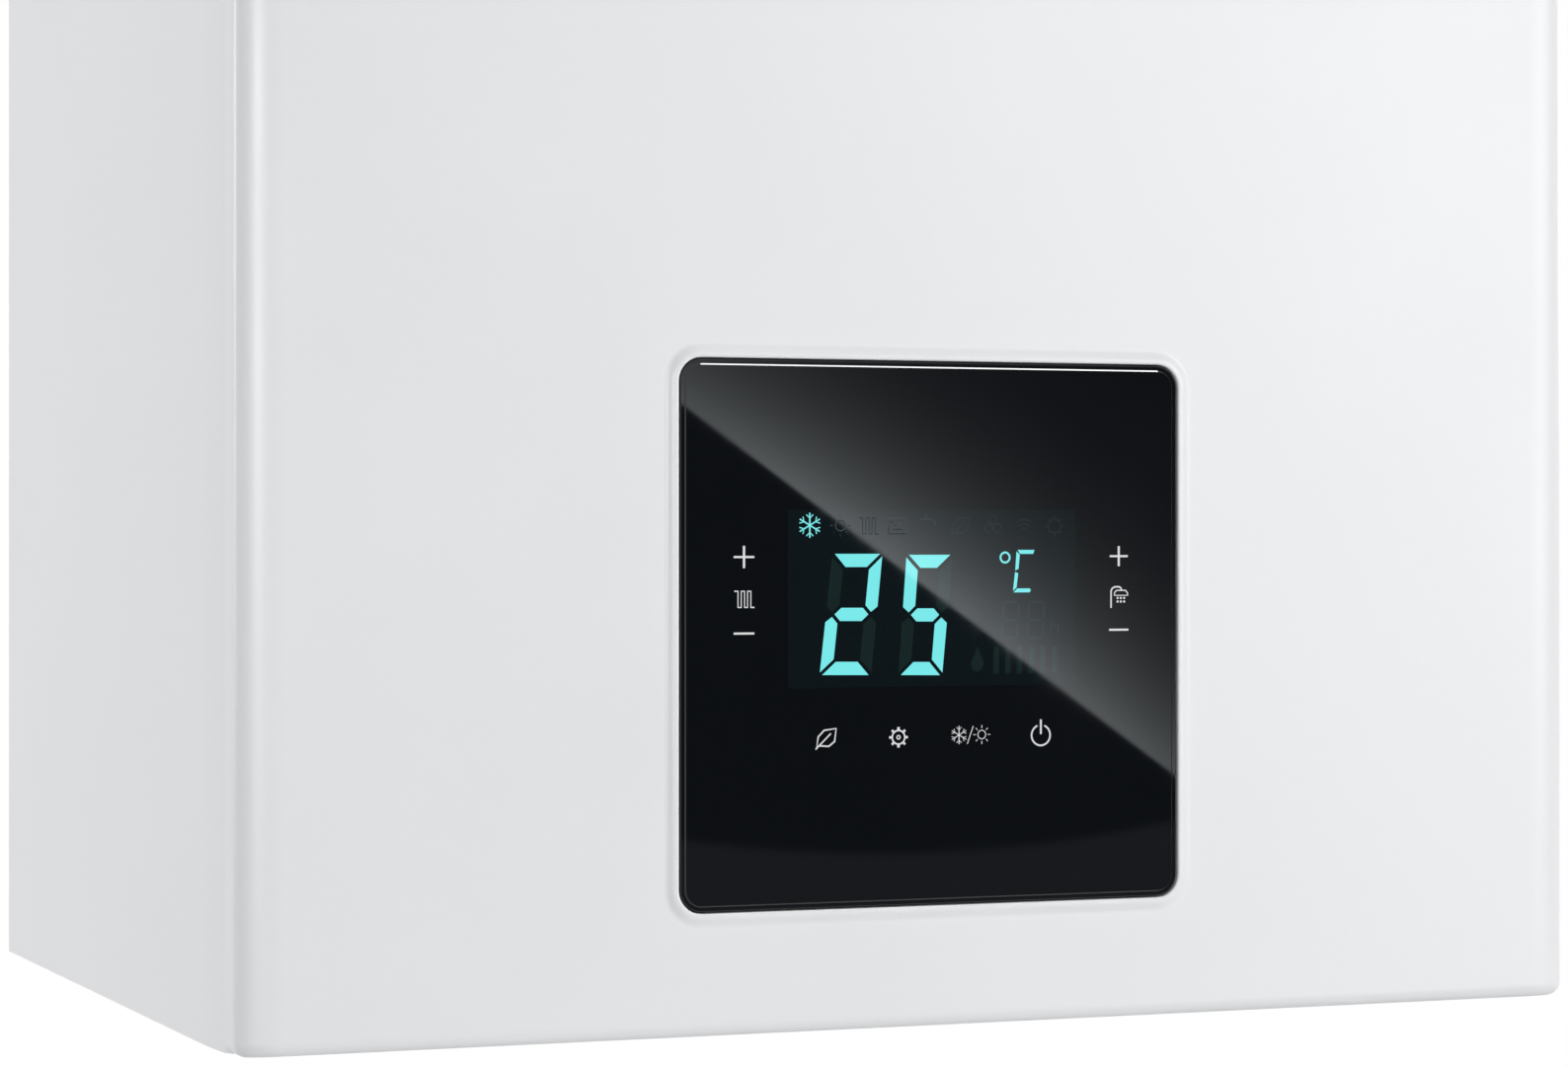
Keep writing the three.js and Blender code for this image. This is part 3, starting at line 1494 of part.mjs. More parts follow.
function safetyValveKnob() {
  const radius = 16;
  const length = 18;
  const back = blockFront - safetyLength - 2 * clearance;
  return gripKnob('y', radius, back - length, back, [safetyValveX, safetyZ], 8);
}

function fillingValveKnob() {
  const radius = 12;
  const stemGap = 4;
  const top = casingBottom + deckInset - clearance;
  const bottom = portEnd + sheet;
  const at = [fillingX, portY];
  return join(
    gripKnob('z', radius, bottom, top, at, 6),
    rod('z', fillingStemRadius, top - sheet, blockBottom - stemGap, at, 12),
  );
}

add('safety_valve', safetyValve(), brass);
add('safety_valve_knob', safetyValveKnob(), redPlastic);
add('filling_valve_knob', fillingValveKnob(), bluePlastic);

// Pressure gauge: its dial looks down through the tray
const gauge = new THREE.Group();
gauge.position.set(gaugeFromMiddle, gaugeY, casingBottom);
boiler.add(gauge);

const gaugeWall = 1.5;
const gaugeBezelTop = deckInset - clearance;
const gaugeBezelThickness = 2.3;
const gaugeDial = 6;
const gaugeLensThickness = 1;

function pressureGauge() {
  const bezelReach = 2.5;
  const bezelRadius = gaugeRadius + bezelReach;
  const bodyTop = 26;
  const bezelBottom = gaugeBezelTop - gaugeBezelThickness;
  const recess = gaugeRadius - gaugeWall;
  const pinRadius = 1;
  const pinLength = 3;
  const nutRadius = 7;
  const nutHeight = 6;
  const profile = [
    [0, gaugeDial],
    [recess, gaugeDial],
    [recess, bezelBottom],
    [bezelRadius, bezelBottom],
    [bezelRadius, gaugeBezelTop],
    [gaugeRadius, gaugeBezelTop],
    [gaugeRadius, bodyTop],
    [0, bodyTop],
  ];
  return join(
    turned('z', profile, [0, 0], gaugeSides),
    rod('z', pinRadius, gaugeDial - pinLength, gaugeDial + sheet, [0, 0], 8),
    rod('z', nutRadius, bodyTop - sheet, bodyTop + nutHeight, [0, 0], 6),
  );
}

function gaugePointer() {
  const hub = 3;
  const tip = 14;
  const tail = 5;
  const tailHalf = 1;
  const tipHalf = 0.4;
  const halfThickness = 0.5;
  const aheadOfDial = 2;
  const z = gaugeDial - aheadOfDial;
  const needle = prism('z', outline([
    [tailHalf, tail],
    [-tailHalf, tail],
    [-tipHalf, -tip],
    [tipHalf, -tip],
  ]), z - halfThickness, z + halfThickness);
  return cut(
    join(rod('z', hub, z - halfThickness, z + halfThickness, [0, 0], 12), needle),
    rod('z', sheet + clearance, z - overrun, z + overrun, [0, 0], 8),
  );
}

function gaugeLens() {
  const bottom = gaugeBezelTop - gaugeBezelThickness + clearance;
  return rod('z', gaugeRadius - gaugeWall - clearance, bottom, bottom + gaugeLensThickness, [0, 0],
    gaugeSides);
}

add('pressure_gauge', pressureGauge(), blackPlastic, gauge);
add('gauge_pointer', gaugePointer(), redPlastic, gauge);
add('gauge_lens', gaugeLens(), clearGlass, gauge);

// Control box, modelled around its hinge pins
const control = new THREE.Group();
control.position.set(0, hingeY, hingeZ);
boiler.add(control);

const boxFront = controlFront - hingeY;
const boxBack = controlBack - hingeY;
const boxLow = controlBottom - hingeZ;
const boxHigh = controlTop - hingeZ;
const glassMiddle = windowZ - hingeZ;
const glassFront = casingFront - rimRise + clearance - hingeY;
const glassBack = glassFront + glassThickness;
const rearCoverDepth = 6.7;
const shellBack = boxBack - rearCoverDepth - clearance;
const displayMiddle = glassMiddle + displayAboveWindowMiddle;
const boardSetback = 12;
const boardFront = shellBack - boardSetback;

function controlBox() {
  const inner = controlHalfWidth - plasticWall;
  const bossInset = 2;
  const bossSize = windowSize - 2 * windowGap - 2 * bossInset;
  const pinLength = 7;
  const boss = prism('y', roundedRectangle(windowX, glassMiddle, bossSize, bossSize, windowRadius - bossInset),
    glassBack + clearance, boxFront + plasticWall);
  const pins = [-1, 1].map((side) => {
    const ends = [side * (controlHalfWidth - plasticWall / 2), side * (controlHalfWidth + pinLength)];
    return rod('x', hingePinRadius, Math.min(...ends), Math.max(...ends), [0, 0], 16);
  });
  return cut(
    join(
      cut(
        block([-controlHalfWidth, controlHalfWidth], [boxFront, shellBack], [boxLow, boxHigh]),
        block([-inner, inner], [boxFront + plasticWall, shellBack + overrun],
          [boxLow + plasticWall, boxHigh - plasticWall]),
      ),
      boss,
      ...pins,
    ),
    block([windowX - displayWidth / 2, windowX + displayWidth / 2],
      [glassFront, boxFront + plasticWall + clearance],
      [displayMiddle - displayHeight / 2, displayMiddle + displayHeight / 2]),
  );
}

function controlRearCover() {
  const inner = controlHalfWidth - plasticWall;
  const y = [shellBack + clearance, boxBack];
  const postRadius = 4;
  const postX = 100;
  const postInset = 30;
  const posts = [-1, 1].flatMap((side) => [boxLow + postInset, boxHigh - postInset].map((z) => rod('y',
    postRadius, boardFront + thickSheet + clearance, boxBack - plasticWall / 2, [side * postX, z], 8)));
  const slotHalf = 12;
  const slotPitch = 48;
  const slotHeight = 3;
  const slots = [-2, -1, 0, 1, 2].map((place) => block(
    [place * slotPitch - slotHalf, place * slotPitch + slotHalf],
    [y[0] - overrun, boxBack + overrun],
    [boxHigh - postInset - slotHeight / 2, boxHigh - postInset + slotHeight / 2],
  ));
  return cut(
    join(
      cut(
        block([-controlHalfWidth, controlHalfWidth], y, [boxLow, boxHigh]),
        block([-inner, inner], [y[0] - overrun, boxBack - plasticWall],
          [boxLow + plasticWall, boxHigh - plasticWall]),
      ),
      ...posts,
    ),
    ...slots,
  );
}

function mainBoard() {
  const halfBoard = 125;
  const edgeGap = 14;
  const low = boxLow + edgeGap;
  const high = boxHigh - edgeGap;
  const relayX = [-100, -72, -44, -16, 12];
  const relayHalf = 9;
  const relayDepth = 14;
  const transformerX = [60, 104];
  const transformerHeight = 36;
  const capacitorX = [42, 78];
  const capacitorBelowTop = 27;
  const tallDepth = 23;
  const partBottom = low + relayHalf;
  const board = block([-halfBoard, halfBoard], [boardFront, boardFront + thickSheet], [low, high]);
  const relays = relayX.map((x) => block([x - relayHalf, x + relayHalf],
    [boardFront - relayDepth, boardFront + sheet], [partBottom, partBottom + 2 * relayHalf]));
  const transformer = block(transformerX, [boardFront - tallDepth, boardFront + sheet],
    [partBottom, partBottom + transformerHeight]);
  const capacitors = capacitorX.map((x) => rod('y', relayHalf, boardFront - tallDepth, boardFront + sheet,
    [x, high - capacitorBelowTop], 12));
  return join(board, ...relays, transformer, ...capacitors);
}

function displayModule() {
  const y = [glassBack + clearance, boxFront + plasticWall + clearance + thickSheet];
  const boardOver = 6;
  const gap = clearance;
  const width = displayWidth / 2 - gap;
  const height = displayHeight / 2 - gap;
  return join(
    block([windowX - width, windowX + width], y, [displayMiddle - height, displayMiddle + height]),
    block([windowX - width - boardOver, windowX + width + boardOver], [y[1] - thickSheet, y[1]],
      [displayMiddle - height - boardOver, displayMiddle + height + boardOver]),
  );
}

function touchGlass() {
  const size = windowSize - 2 * windowGap;
  return prism('y', roundedRectangle(windowX, glassMiddle, size, size, windowRadius - windowGap),
    glassFront, glassBack, 4);
}

add('control_box', controlBox(), blackPlastic, control);
add('control_box_rear_cover', controlRearCover(), greyPlastic, control);
add('main_board', mainBoard(), boardGreen, control);
add('display_module', displayModule(), blackPlastic, control);
add('touch_glass', touchGlass(), blackGlass, control);

export default boiler;
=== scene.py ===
# %% [markdown]
# # A wall-mounted gas boiler, from its casing to its smallest screw
# The engineering model gives every piece's size and place, and this script gives the looks. Blender
# works in metres here, and the sizes below are in millimetres, so each one is multiplied by MM.

# %% Load the engineering model
import json
import math
import bpy
from mathutils import Matrix, Vector


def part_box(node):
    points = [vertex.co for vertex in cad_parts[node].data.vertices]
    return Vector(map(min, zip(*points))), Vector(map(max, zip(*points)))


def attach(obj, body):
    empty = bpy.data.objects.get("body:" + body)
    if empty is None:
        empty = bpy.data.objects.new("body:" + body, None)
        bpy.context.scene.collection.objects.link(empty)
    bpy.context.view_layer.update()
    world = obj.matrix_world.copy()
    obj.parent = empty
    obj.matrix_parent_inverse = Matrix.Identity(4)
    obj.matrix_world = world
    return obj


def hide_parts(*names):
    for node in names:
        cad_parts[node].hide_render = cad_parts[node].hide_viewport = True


MM = 0.001
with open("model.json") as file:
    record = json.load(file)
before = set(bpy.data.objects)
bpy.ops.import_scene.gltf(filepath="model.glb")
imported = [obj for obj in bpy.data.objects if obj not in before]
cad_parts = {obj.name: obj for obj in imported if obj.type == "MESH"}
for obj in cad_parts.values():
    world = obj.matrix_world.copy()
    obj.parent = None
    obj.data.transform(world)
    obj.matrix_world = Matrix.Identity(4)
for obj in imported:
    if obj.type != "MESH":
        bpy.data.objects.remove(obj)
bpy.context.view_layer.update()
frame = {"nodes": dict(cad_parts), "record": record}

# %% [markdown]
# ## Camera
# The photograph looks at the lower part of the boiler from the left, level with the control panel.
# A long lens keeps the upright edges upright. The lens and the place come from fitting the casing's
# straight edges, 400 mm apart, to the picture.

# %% Camera
CAMERA_YAW = math.radians(-21.8)
CAMERA_PLACE = Vector((-463.1, -1339.4, -503.8)) * MM
LENS_MM = 94.44

camera_data = bpy.data.cameras.new("photo_camera")
camera_data.lens = LENS_MM
camera_data.sensor_width = 36
camera_data.clip_end = 60
camera = bpy.data.objects.new("photo_camera", camera_data)
camera.location = CAMERA_PLACE
camera.rotation_euler = (math.radians(90), 0, CAMERA_YAW)
bpy.context.scene.collection.objects.link(camera)
bpy.context.scene.camera = camera
bpy.context.scene.view_settings.view_transform = "Standard"

# %% [markdown]
# ## Small tools for modelling by hand
# An operator works on what is selected, so each helper below selects one piece, or some of its faces
# or edges, before it works. Faces are picked by where they are and which way they look.


# %% Select and apply
def object_mode():
    if bpy.context.object and bpy.context.object.mode != "OBJECT":
        bpy.ops.object.mode_set(mode="OBJECT")


def only(piece):
    object_mode()
    bpy.ops.object.select_all(action="DESELECT")
    piece.select_set(True)
    bpy.context.view_layer.objects.active = piece
    return piece


def settle(piece):
    only(piece)
    bpy.ops.object.transform_apply(location=True, rotation=True, scale=True)
    return piece


def new_piece(name):
    piece = bpy.context.object
    piece.name = name
    piece.data.name = name
    return settle(piece)


def edit_all(piece):
    """Edit mode, with the whole piece selected."""
    only(piece)
    bpy.ops.object.mode_set(mode="EDIT")
    bpy.ops.mesh.select_all(action="SELECT")


def pick(piece, kind, test):
    """Selects the faces or edges for which test is true, and stays in edit mode."""
    only(piece)
    bpy.context.tool_settings.mesh_select_mode = (False, kind == "EDGE", kind == "FACE")
    mesh = piece.data
    for group in (mesh.vertices, mesh.edges, mesh.polygons):
        group.foreach_set("select", [False] * len(group))
    places = [vertex.co for vertex in mesh.vertices]
    if kind == "FACE":
        for face in mesh.polygons:
            face.select = test(face.center, face.normal)
    else:
        for edge in mesh.edges:
            edge.select = test(*(places[i] for i in edge.vertices))
            if edge.select:
                for i in edge.vertices:
                    mesh.vertices[i].select = True
    bpy.ops.object.mode_set(mode="EDIT")


def round_edges(piece, test, width, segments):
    """Rounds the edges for which test is true."""
    pick(piece, "EDGE", test)
    bpy.ops.mesh.bevel(offset=width * MM, segments=segments, affect="EDGES")
    object_mode()
    return piece


def outward(piece):
    """Turns every face of the piece to look outwards."""
    edit_all(piece)
    bpy.ops.mesh.normals_make_consistent(inside=False)
    object_mode()


def modify(piece, kind, **settings):
    only(piece)
    modifier = piece.modifiers.new(kind.title(), kind)
    for setting, value in settings.items():
        setattr(modifier, setting, value)
    bpy.ops.object.modifier_apply(modifier=modifier.name)
    return piece


def smooth(piece, degrees=38):
    """Smooth shading up to an angle. Large faces keep their own direction, so flats stay flat."""
    only(piece)
    bpy.ops.object.shade_smooth_by_angle(angle=math.radians(degrees))
    return modify(piece, "WEIGHTED_NORMAL", keep_sharp=True, weight=100)


def soften(piece, width, segments=2, degrees=32):
    """Rounds every edge sharper than the angle, as any real edge is."""
    modify(piece, "BEVEL", width=width * MM, segments=segments, limit_method="ANGLE",
           angle_limit=math.radians(degrees), harden_normals=False)
    return smooth(piece)


def merge(name, *parts):
    only(parts[0])
    for part in parts[1:]:
        part.select_set(True)
    if len(parts) > 1:
        bpy.ops.object.join()
    return new_piece(name)


def carve(piece, *cutters):
    for cutter in cutters:
        modify(piece, "BOOLEAN", operation="DIFFERENCE", solver="EXACT", object=cutter)
        bpy.data.objects.remove(cutter)
    return piece


# %% Primitives at their size and place, in millimetres
TURN_TO = {"x": (0, math.radians(90), 0), "y": (math.radians(90), 0, 0), "z": (0, 0, 0)}


def box(name, x, y, z):
    low = Vector((x[0], y[0], z[0])) * MM
    high = Vector((x[1], y[1], z[1])) * MM
    object_mode()
    bpy.ops.mesh.primitive_cube_add(size=1, location=(low + high) / 2, scale=high - low)
    return new_piece(name)


def rod(name, axis, radius, start, end, across, sides=32):
    """A cylinder along an axis, from start to end, with its middle line at across."""
    place = {"x": [(start + end) / 2, *across], "y": [across[0], (start + end) / 2, across[1]],
             "z": [*across, (start + end) / 2]}[axis]
    object_mode()
    bpy.ops.mesh.primitive_cylinder_add(vertices=sides, radius=radius * MM, depth=abs(end - start) * MM,
                                        location=Vector(place) * MM, rotation=TURN_TO[axis])
    return new_piece(name)


def millimetres(node):
    """A node's lowest and highest corners, in millimetres."""
    low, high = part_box(node)
    return low / MM, high / MM


# %% [markdown]
# ## Helpers for materials
# Colours are written as the sRGB hex values that an eye would pick, and one function turns them into
# the linear values that the renderer works with. Patterns read Object coordinates, which are metres in
# the boiler's own frame, so a pattern's scale is a real size.


# %% Colours and nodes
def linear(hex_colour):
    parts = [int(hex_colour[i:i + 2], 16) / 255 for i in (1, 3, 5)]
    return [c / 12.92 if c <= 0.04045 else ((c + 0.055) / 1.055) ** 2.4 for c in parts] + [1]


def put(tree, kind, inputs=None, **settings):
    """Adds a node, sets it, and links or fills its inputs."""
    node = tree.nodes.new(kind)
    for setting, value in settings.items():
        setattr(node, setting, value)
    for key, value in (inputs or {}).items():
        if isinstance(value, bpy.types.NodeSocket):
            tree.links.new(value, node.inputs[key])
        else:
            node.inputs[key].default_value = value
    return node


def new_material(name, base, roughness, metallic=0.0, **sockets):
    """A surface with one colour so far. Returns the material, its node tree and its shader."""
    material = bpy.data.materials.new(name)
    material.use_nodes = True
    shader = material.node_tree.nodes["Principled BSDF"]
    shader.inputs["Base Color"].default_value = linear(base)
    shader.inputs["Roughness"].default_value = roughness
    shader.inputs["Metallic"].default_value = metallic
    for socket, value in sockets.items():
        shader.inputs[socket.replace("_", " ")].default_value = value
    return material, material.node_tree, shader


# %% [markdown]
# ## Finishes in general
# Hardly any surface has one even colour. Under a plain colour, the first finish below puts clouds some
# centimetres wide that shift colour and shine a little, and a fine grain that stands in relief. Most
# real surfaces of the boiler start from it, with the grain of their own making: a cast skin is coarse,
# rolled sheet has a grain along the roll, moulded plastic is finely sparked.


# %% A surface with clouds and grain
def surface(name, light, dark, roughness, metallic=0.0, grain=1.0, relief=0.01, drift=40.0,
            along=(1, 1, 1), spread=0.05, **sockets):
    """Sizes in mm: grain and drift are widths, relief is the grain's depth. Along stretches the grain."""
    material, tree, shader = new_material(name, light, roughness, metallic, **sockets)
    place = put(tree, "ShaderNodeTexCoord").outputs["Object"]
    clouds = put(tree, "ShaderNodeTexNoise", {"Vector": place, "Scale": 1 / (drift * MM), "Detail": 3.0})
    colour = put(tree, "ShaderNodeMix", {"Factor": clouds.outputs["Fac"], 6: linear(light), 7: linear(dark)},
                 data_type="RGBA")
    shine = put(tree, "ShaderNodeMapRange", {"Value": clouds.outputs["Fac"], "From Min": 0.3, "From Max": 0.7,
                                             "To Min": roughness - spread, "To Max": roughness + spread})
    turned = put(tree, "ShaderNodeMapping", {"Vector": place, "Scale": along})
    grains = put(tree, "ShaderNodeTexNoise", {"Vector": turned.outputs["Vector"], "Scale": 1 / (grain * MM),
                                              "Detail": 2.0})
    raised = put(tree, "ShaderNodeBump", {"Height": grains.outputs["Fac"], "Distance": relief * MM})
    tree.links.new(colour.outputs[2], shader.inputs["Base Color"])
    tree.links.new(shine.outputs["Result"], shader.inputs["Roughness"])
    tree.links.new(raised.outputs["Normal"], shader.inputs["Normal"])
    return material, tree, shader, colour


# %% [markdown]
# ## White powder coat
# The casing is sheet steel with a polyester powder coat. The powder melts into a film with a faint
# orange peel, blobs one or two millimetres wide and a few microns deep, and a satin shine. The
# peel is drawn a little deeper than life, or it wouldn't show at this distance.

# %% White powder coat
white_coat = surface("white_powder_coat", "#ebecee", "#edeef0", 0.32, grain=1.6, relief=0.012, drift=60,
                     spread=0.03, IOR=1.5)[0]


# %% Give a piece its finish and its body
def dress(piece, material, slot, body, *nodes):
    """Gives a finished piece its material and its body, and hides the nodes that it stands for. The slot is
    not used.
    """
    piece.data.materials.clear()
    piece.data.materials.append(material)
    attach(piece, body)
    if nodes:
        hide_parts(*nodes)
    return piece


# %% [markdown]
# ## Front cover
# The cover is one deep-drawn sheet. Its upright edges are rounded more along the front than along the
# side, so the box is stretched in depth, given round edges and squeezed back. The window's rim is
# pressed outwards by a millimetre, with a soft slope outside and a tight fold inside: it is made from a
# rounded square by many small insets that follow a profile. The sheet gets its thickness last.

# %% Front cover: the drawn box
SHEET = 1.0
COVER_RETURN = 13.5
EDGE_ALONG_FRONT = 12.0
EDGE_ALONG_SIDE = 5.0
END_RADIUS = 4.0
RIM_RISE = 1.0
FRONT_BORDER = 0.8
CROSSED_BELOW_END = 0.2
CROSSED_LENGTH = 0.35
TINY = 0.02 * MM

cover_low, cover_high = millimetres("front_cover")
face_y = cover_low.y + RIM_RISE
return_y = face_y + COVER_RETURN
stretch = EDGE_ALONG_FRONT / EDGE_ALONG_SIDE

cover = box("front_cover_shell", (cover_low.x, cover_high.x), (face_y, return_y), (cover_low.z, cover_high.z))
pick(cover, "FACE", lambda centre, normal: normal.y > 0.9)
bpy.ops.mesh.delete(type="ONLY_FACE")


def stretch_depth(factor):
    edit_all(cover)
    bpy.ops.transform.resize(value=(1, factor, 1), center_override=(0, return_y * MM, 0))
    object_mode()


def upright(a, b):
    return abs(a.x - b.x) < TINY and abs(a.y - b.y) < TINY


def front_edge(a, b):
    return upright(a, b) and a.y < (return_y - 2 * COVER_RETURN) * MM


def below_end(a):
    return min(abs(a.z - cover_high.z * MM), abs(a.z - cover_low.z * MM))


def on_cover_end(a, b):
    return abs(a.z - b.z) < TINY and below_end(a) < TINY and min(a.y, b.y) < return_y * MM - TINY


def crossed_by_rounding(a, b):
    """The end's radius is wider than the corner's tightest bend, so its innermost edges run backwards
    there, and are merged."""
    level = abs(a.z - b.z) < TINY
    return level and below_end(a) < CROSSED_BELOW_END * MM and (a - b).length < CROSSED_LENGTH * MM


stretch_depth(stretch)
round_edges(cover, front_edge, EDGE_ALONG_FRONT, 10)
stretch_depth(1 / stretch)
round_edges(cover, on_cover_end, END_RADIUS, 6)
pick(cover, "EDGE", crossed_by_rounding)
bpy.ops.mesh.merge(type="COLLAPSE")
object_mode()
pick(cover, "FACE", lambda centre, normal: normal.y < -0.9999 and abs(centre.y - face_y * MM) < TINY)
bpy.ops.mesh.inset(thickness=FRONT_BORDER * MM)
bpy.ops.mesh.delete(type="FACE")
object_mode()
print("cover box faces:", len(cover.data.polygons))

# %% Front cover: the pressed rim around the window
WINDOW = 150.0
WINDOW_RADIUS = 6.5
RIM_WIDTH = 4.2
RIM_STEPS = 9
RIM_FOOT = 0.2
RIM_CROWN = 0.3
FOLD_RADIUS = 0.6
FOLD_STEPS = 5
LIP_DEPTH = 4.0

glass_low, glass_high = millimetres("touch_glass")
window_x = (glass_low.x + glass_high.x) / 2
window_z = (glass_low.z + glass_high.z) / 2


def rounded_square(name, size, radius, y, segments=10):
    """A flat square with round corners that looks towards the front."""
    object_mode()
    bpy.ops.mesh.primitive_plane_add(size=size * MM, location=Vector((window_x, y, window_z)) * MM,
                                     rotation=(math.radians(90), 0, 0))
    piece = new_piece(name)
    edit_all(piece)
    bpy.ops.mesh.bevel(offset=radius * MM, segments=segments, affect="VERTICES")
    object_mode()
    return piece


rim = rounded_square("window_rim", WINDOW + 2 * RIM_WIDTH, WINDOW_RADIUS + RIM_WIDTH, face_y)
edit_all(rim)
bpy.ops.mesh.inset(thickness=RIM_FOOT * MM)
slope_width = RIM_WIDTH - (RIM_FOOT + RIM_CROWN + FOLD_RADIUS)
risen = 0
for step in range(1, RIM_STEPS + 1):
    height = RIM_RISE * (1 - math.cos(math.pi * step / RIM_STEPS)) / 2
    bpy.ops.mesh.inset(thickness=slope_width / RIM_STEPS * MM, depth=(height - risen) * MM)
    risen = height
bpy.ops.mesh.inset(thickness=RIM_CROWN * MM)
for step in range(1, FOLD_STEPS + 1):
    before = math.pi / 2 * (step - 1) / FOLD_STEPS
    now = math.pi / 2 * step / FOLD_STEPS
    bpy.ops.mesh.inset(thickness=FOLD_RADIUS * (math.sin(now) - math.sin(before)) * MM,
                       depth=FOLD_RADIUS * (math.cos(now) - math.cos(before)) * MM)
bpy.ops.mesh.extrude_region_move(TRANSFORM_OT_translate={"value": (0, (LIP_DEPTH - FOLD_RADIUS) * MM, 0)})
bpy.ops.mesh.delete(type="FACE")
object_mode()

# %% Front cover: join, fill and give it thickness
cover = merge("front_cover_shell", cover, rim)
face_count = {}
for face in cover.data.polygons:
    for key in face.edge_keys:
        face_count[key] = face_count.get(key, 0) + 1
open_front = {key for key, count in face_count.items()
              if count == 1 and all(abs(cover.data.vertices[i].co.y - face_y * MM) < TINY for i in key)}
pick(cover, "EDGE", lambda a, b: False)
object_mode()
for edge in cover.data.edges:
    if edge.key in open_front:
        edge.select = True
        for i in edge.vertices:
            cover.data.vertices[i].select = True
bpy.ops.object.mode_set(mode="EDIT")
bpy.ops.mesh.fill(use_beauty=True)
outward(cover)
modify(cover, "SOLIDIFY", thickness=SHEET * MM, offset=-1)
smooth(cover, 45)
dress(cover, white_coat, "white_paint", "cover", "front_cover")
print("cover triangles:", sum(len(face.vertices) - 2 for face in cover.data.polygons))

# %% [markdown]
# ## Sheet metals
# Hot-dip galvanising leaves zinc crystals about a centimetre wide, each turned its own way, so cells of
# slightly different grey cover the sheet. Aluminised steel, used where it gets hot, is duller and shows
# only the rolling grain. Stainless sheet is brushed along its length. Screws are zinc plated.

# %% Sheet metals
galvanised, tree, shader, colour = surface("hot_dip_galvanised_steel", "#bfc4c7", "#a3a9ad", 0.40, 1.0,
                                           grain=1.2, relief=0.01, drift=70)
crystals = put(tree, "ShaderNodeTexVoronoi", {"Vector": put(tree, "ShaderNodeTexCoord").outputs["Object"],
                                              "Scale": 1 / (9 * MM)})
tone = put(tree, "ShaderNodeSeparateColor", {"Color": crystals.outputs["Color"]})
tree.links.new(tone.outputs[0], colour.inputs["Factor"])
aluminised = surface("aluminised_steel", "#b9bbbb", "#a4a7a9", 0.46, 1.0, grain=0.9, relief=0.012, drift=45,
                     along=(1, 1, 0.12))[0]
zinc_plate = surface("zinc_plated_steel", "#cfd2d4", "#b4b9be", 0.28, 1.0, grain=0.5, relief=0.004,
                     drift=8)[0]
stainless = surface("brushed_stainless_steel", "#c9cbcb", "#b3b6b8", 0.30, 1.0, grain=0.5, relief=0.012,
                    drift=30, along=(0.05, 1, 1))[0]

# %% [markdown]
# ## Copper, brass and cast aluminium
# Drawn copper tube darkens in clouds where it was handled or heated. Brass is hot-pressed and then
# turned, so it keeps a fine skin. Cast aluminium has the coarse skin of its mould.

# %% Copper, brass and cast aluminium
copper = surface("drawn_copper", "#d08a62", "#9c5c40", 0.30, 1.0, grain=0.7, relief=0.006, drift=26)[0]
brass = surface("pressed_brass", "#cdb06a", "#a88a4c", 0.33, 1.0, grain=0.5, relief=0.02, drift=18)[0]
cast_aluminium = surface("cast_aluminium", "#c0c2c3", "#a6a9ab", 0.48, 1.0, grain=0.9, relief=0.07,
                         drift=25)[0]

# %% [markdown]
# ## Plastics, paint and rubber
# Moulded plastics have a spark-eroded skin some tenths of a millimetre wide. The vessel and the pump
# motor are dip painted, smooth with a slow wave. Rubber and fibre board are dull and coarse.

# %% Plastics, paint, rubber and fibre
PLASTICS = {
    "black_plastic": ("#1d1e21", "#17181a", 0.48),
    "grey_plastic": ("#74797d", "#6b7074", 0.50),
    "white_plastic": ("#e4e4e0", "#dadad4", 0.42),
    "red_plastic": ("#b8262b", "#a52025", 0.34),
    "blue_plastic": ("#2a62b0", "#24569e", 0.34),
}
plastic = {slot: surface("moulded_" + slot, light, dark, rough, grain=0.35, relief=0.012, drift=30,
                         IOR=1.49)[0]
           for slot, (light, dark, rough) in PLASTICS.items()}
vessel_paint = surface("red_dip_paint", "#ad3730", "#9c2f2a", 0.30, grain=2.5, relief=0.02, drift=60,
                       IOR=1.5)[0]
motor_paint = surface("dark_motor_paint", "#43474b", "#383c3f", 0.42, grain=1.2, relief=0.03, drift=30,
                      IOR=1.5)[0]
rubber = surface("foam_rubber", "#35373b", "#2b2d31", 0.85, grain=0.8, relief=0.08, drift=20)[0]
fibre_board = surface("ceramic_fibre_board", "#ebe4d5", "#d8cfbb", 0.95, grain=0.8, relief=0.2, drift=22,
                      along=(1, 0.3, 1))[0]
porcelain = surface("glazed_porcelain", "#f2efe6", "#e9e4d7", 0.16, grain=1.5, relief=0.004, drift=9,
                    IOR=1.54)[0]

# %% [markdown]
# ## Clear glass and circuit board
# Sight glass and gauge lens are clear, so light goes through them. The circuit board is glass fibre
# under green lacquer: copper tracks run under it in straight lines, which show as lighter bands.

# %% Clear glass and circuit board
clear_glass = surface("clear_glass", "#f2f7f6", "#eaf3f1", 0.03, grain=20, relief=0.002, drift=15,
                      spread=0.01, IOR=1.5, Transmission_Weight=1.0)[0]
board_green, tree, shader, colour = surface("green_circuit_board", "#2a6b46", "#164a2e", 0.35, grain=0.5,
                                            relief=0.01, drift=40, IOR=1.55)
place = put(tree, "ShaderNodeTexCoord").outputs["Object"]
tracks = put(tree, "ShaderNodeTexBrick", {"Vector": put(tree, "ShaderNodeMapping", {
    "Vector": place, "Rotation": (math.radians(90), 0, 0)}).outputs["Vector"],
    "Scale": 1 / (30 * MM), "Mortar Size": 0.03, "Brick Width": 0.5, "Row Height": 0.12,
    "Mortar Smooth": 0.2})
tree.links.new(tracks.outputs["Fac"], colour.inputs["Factor"])
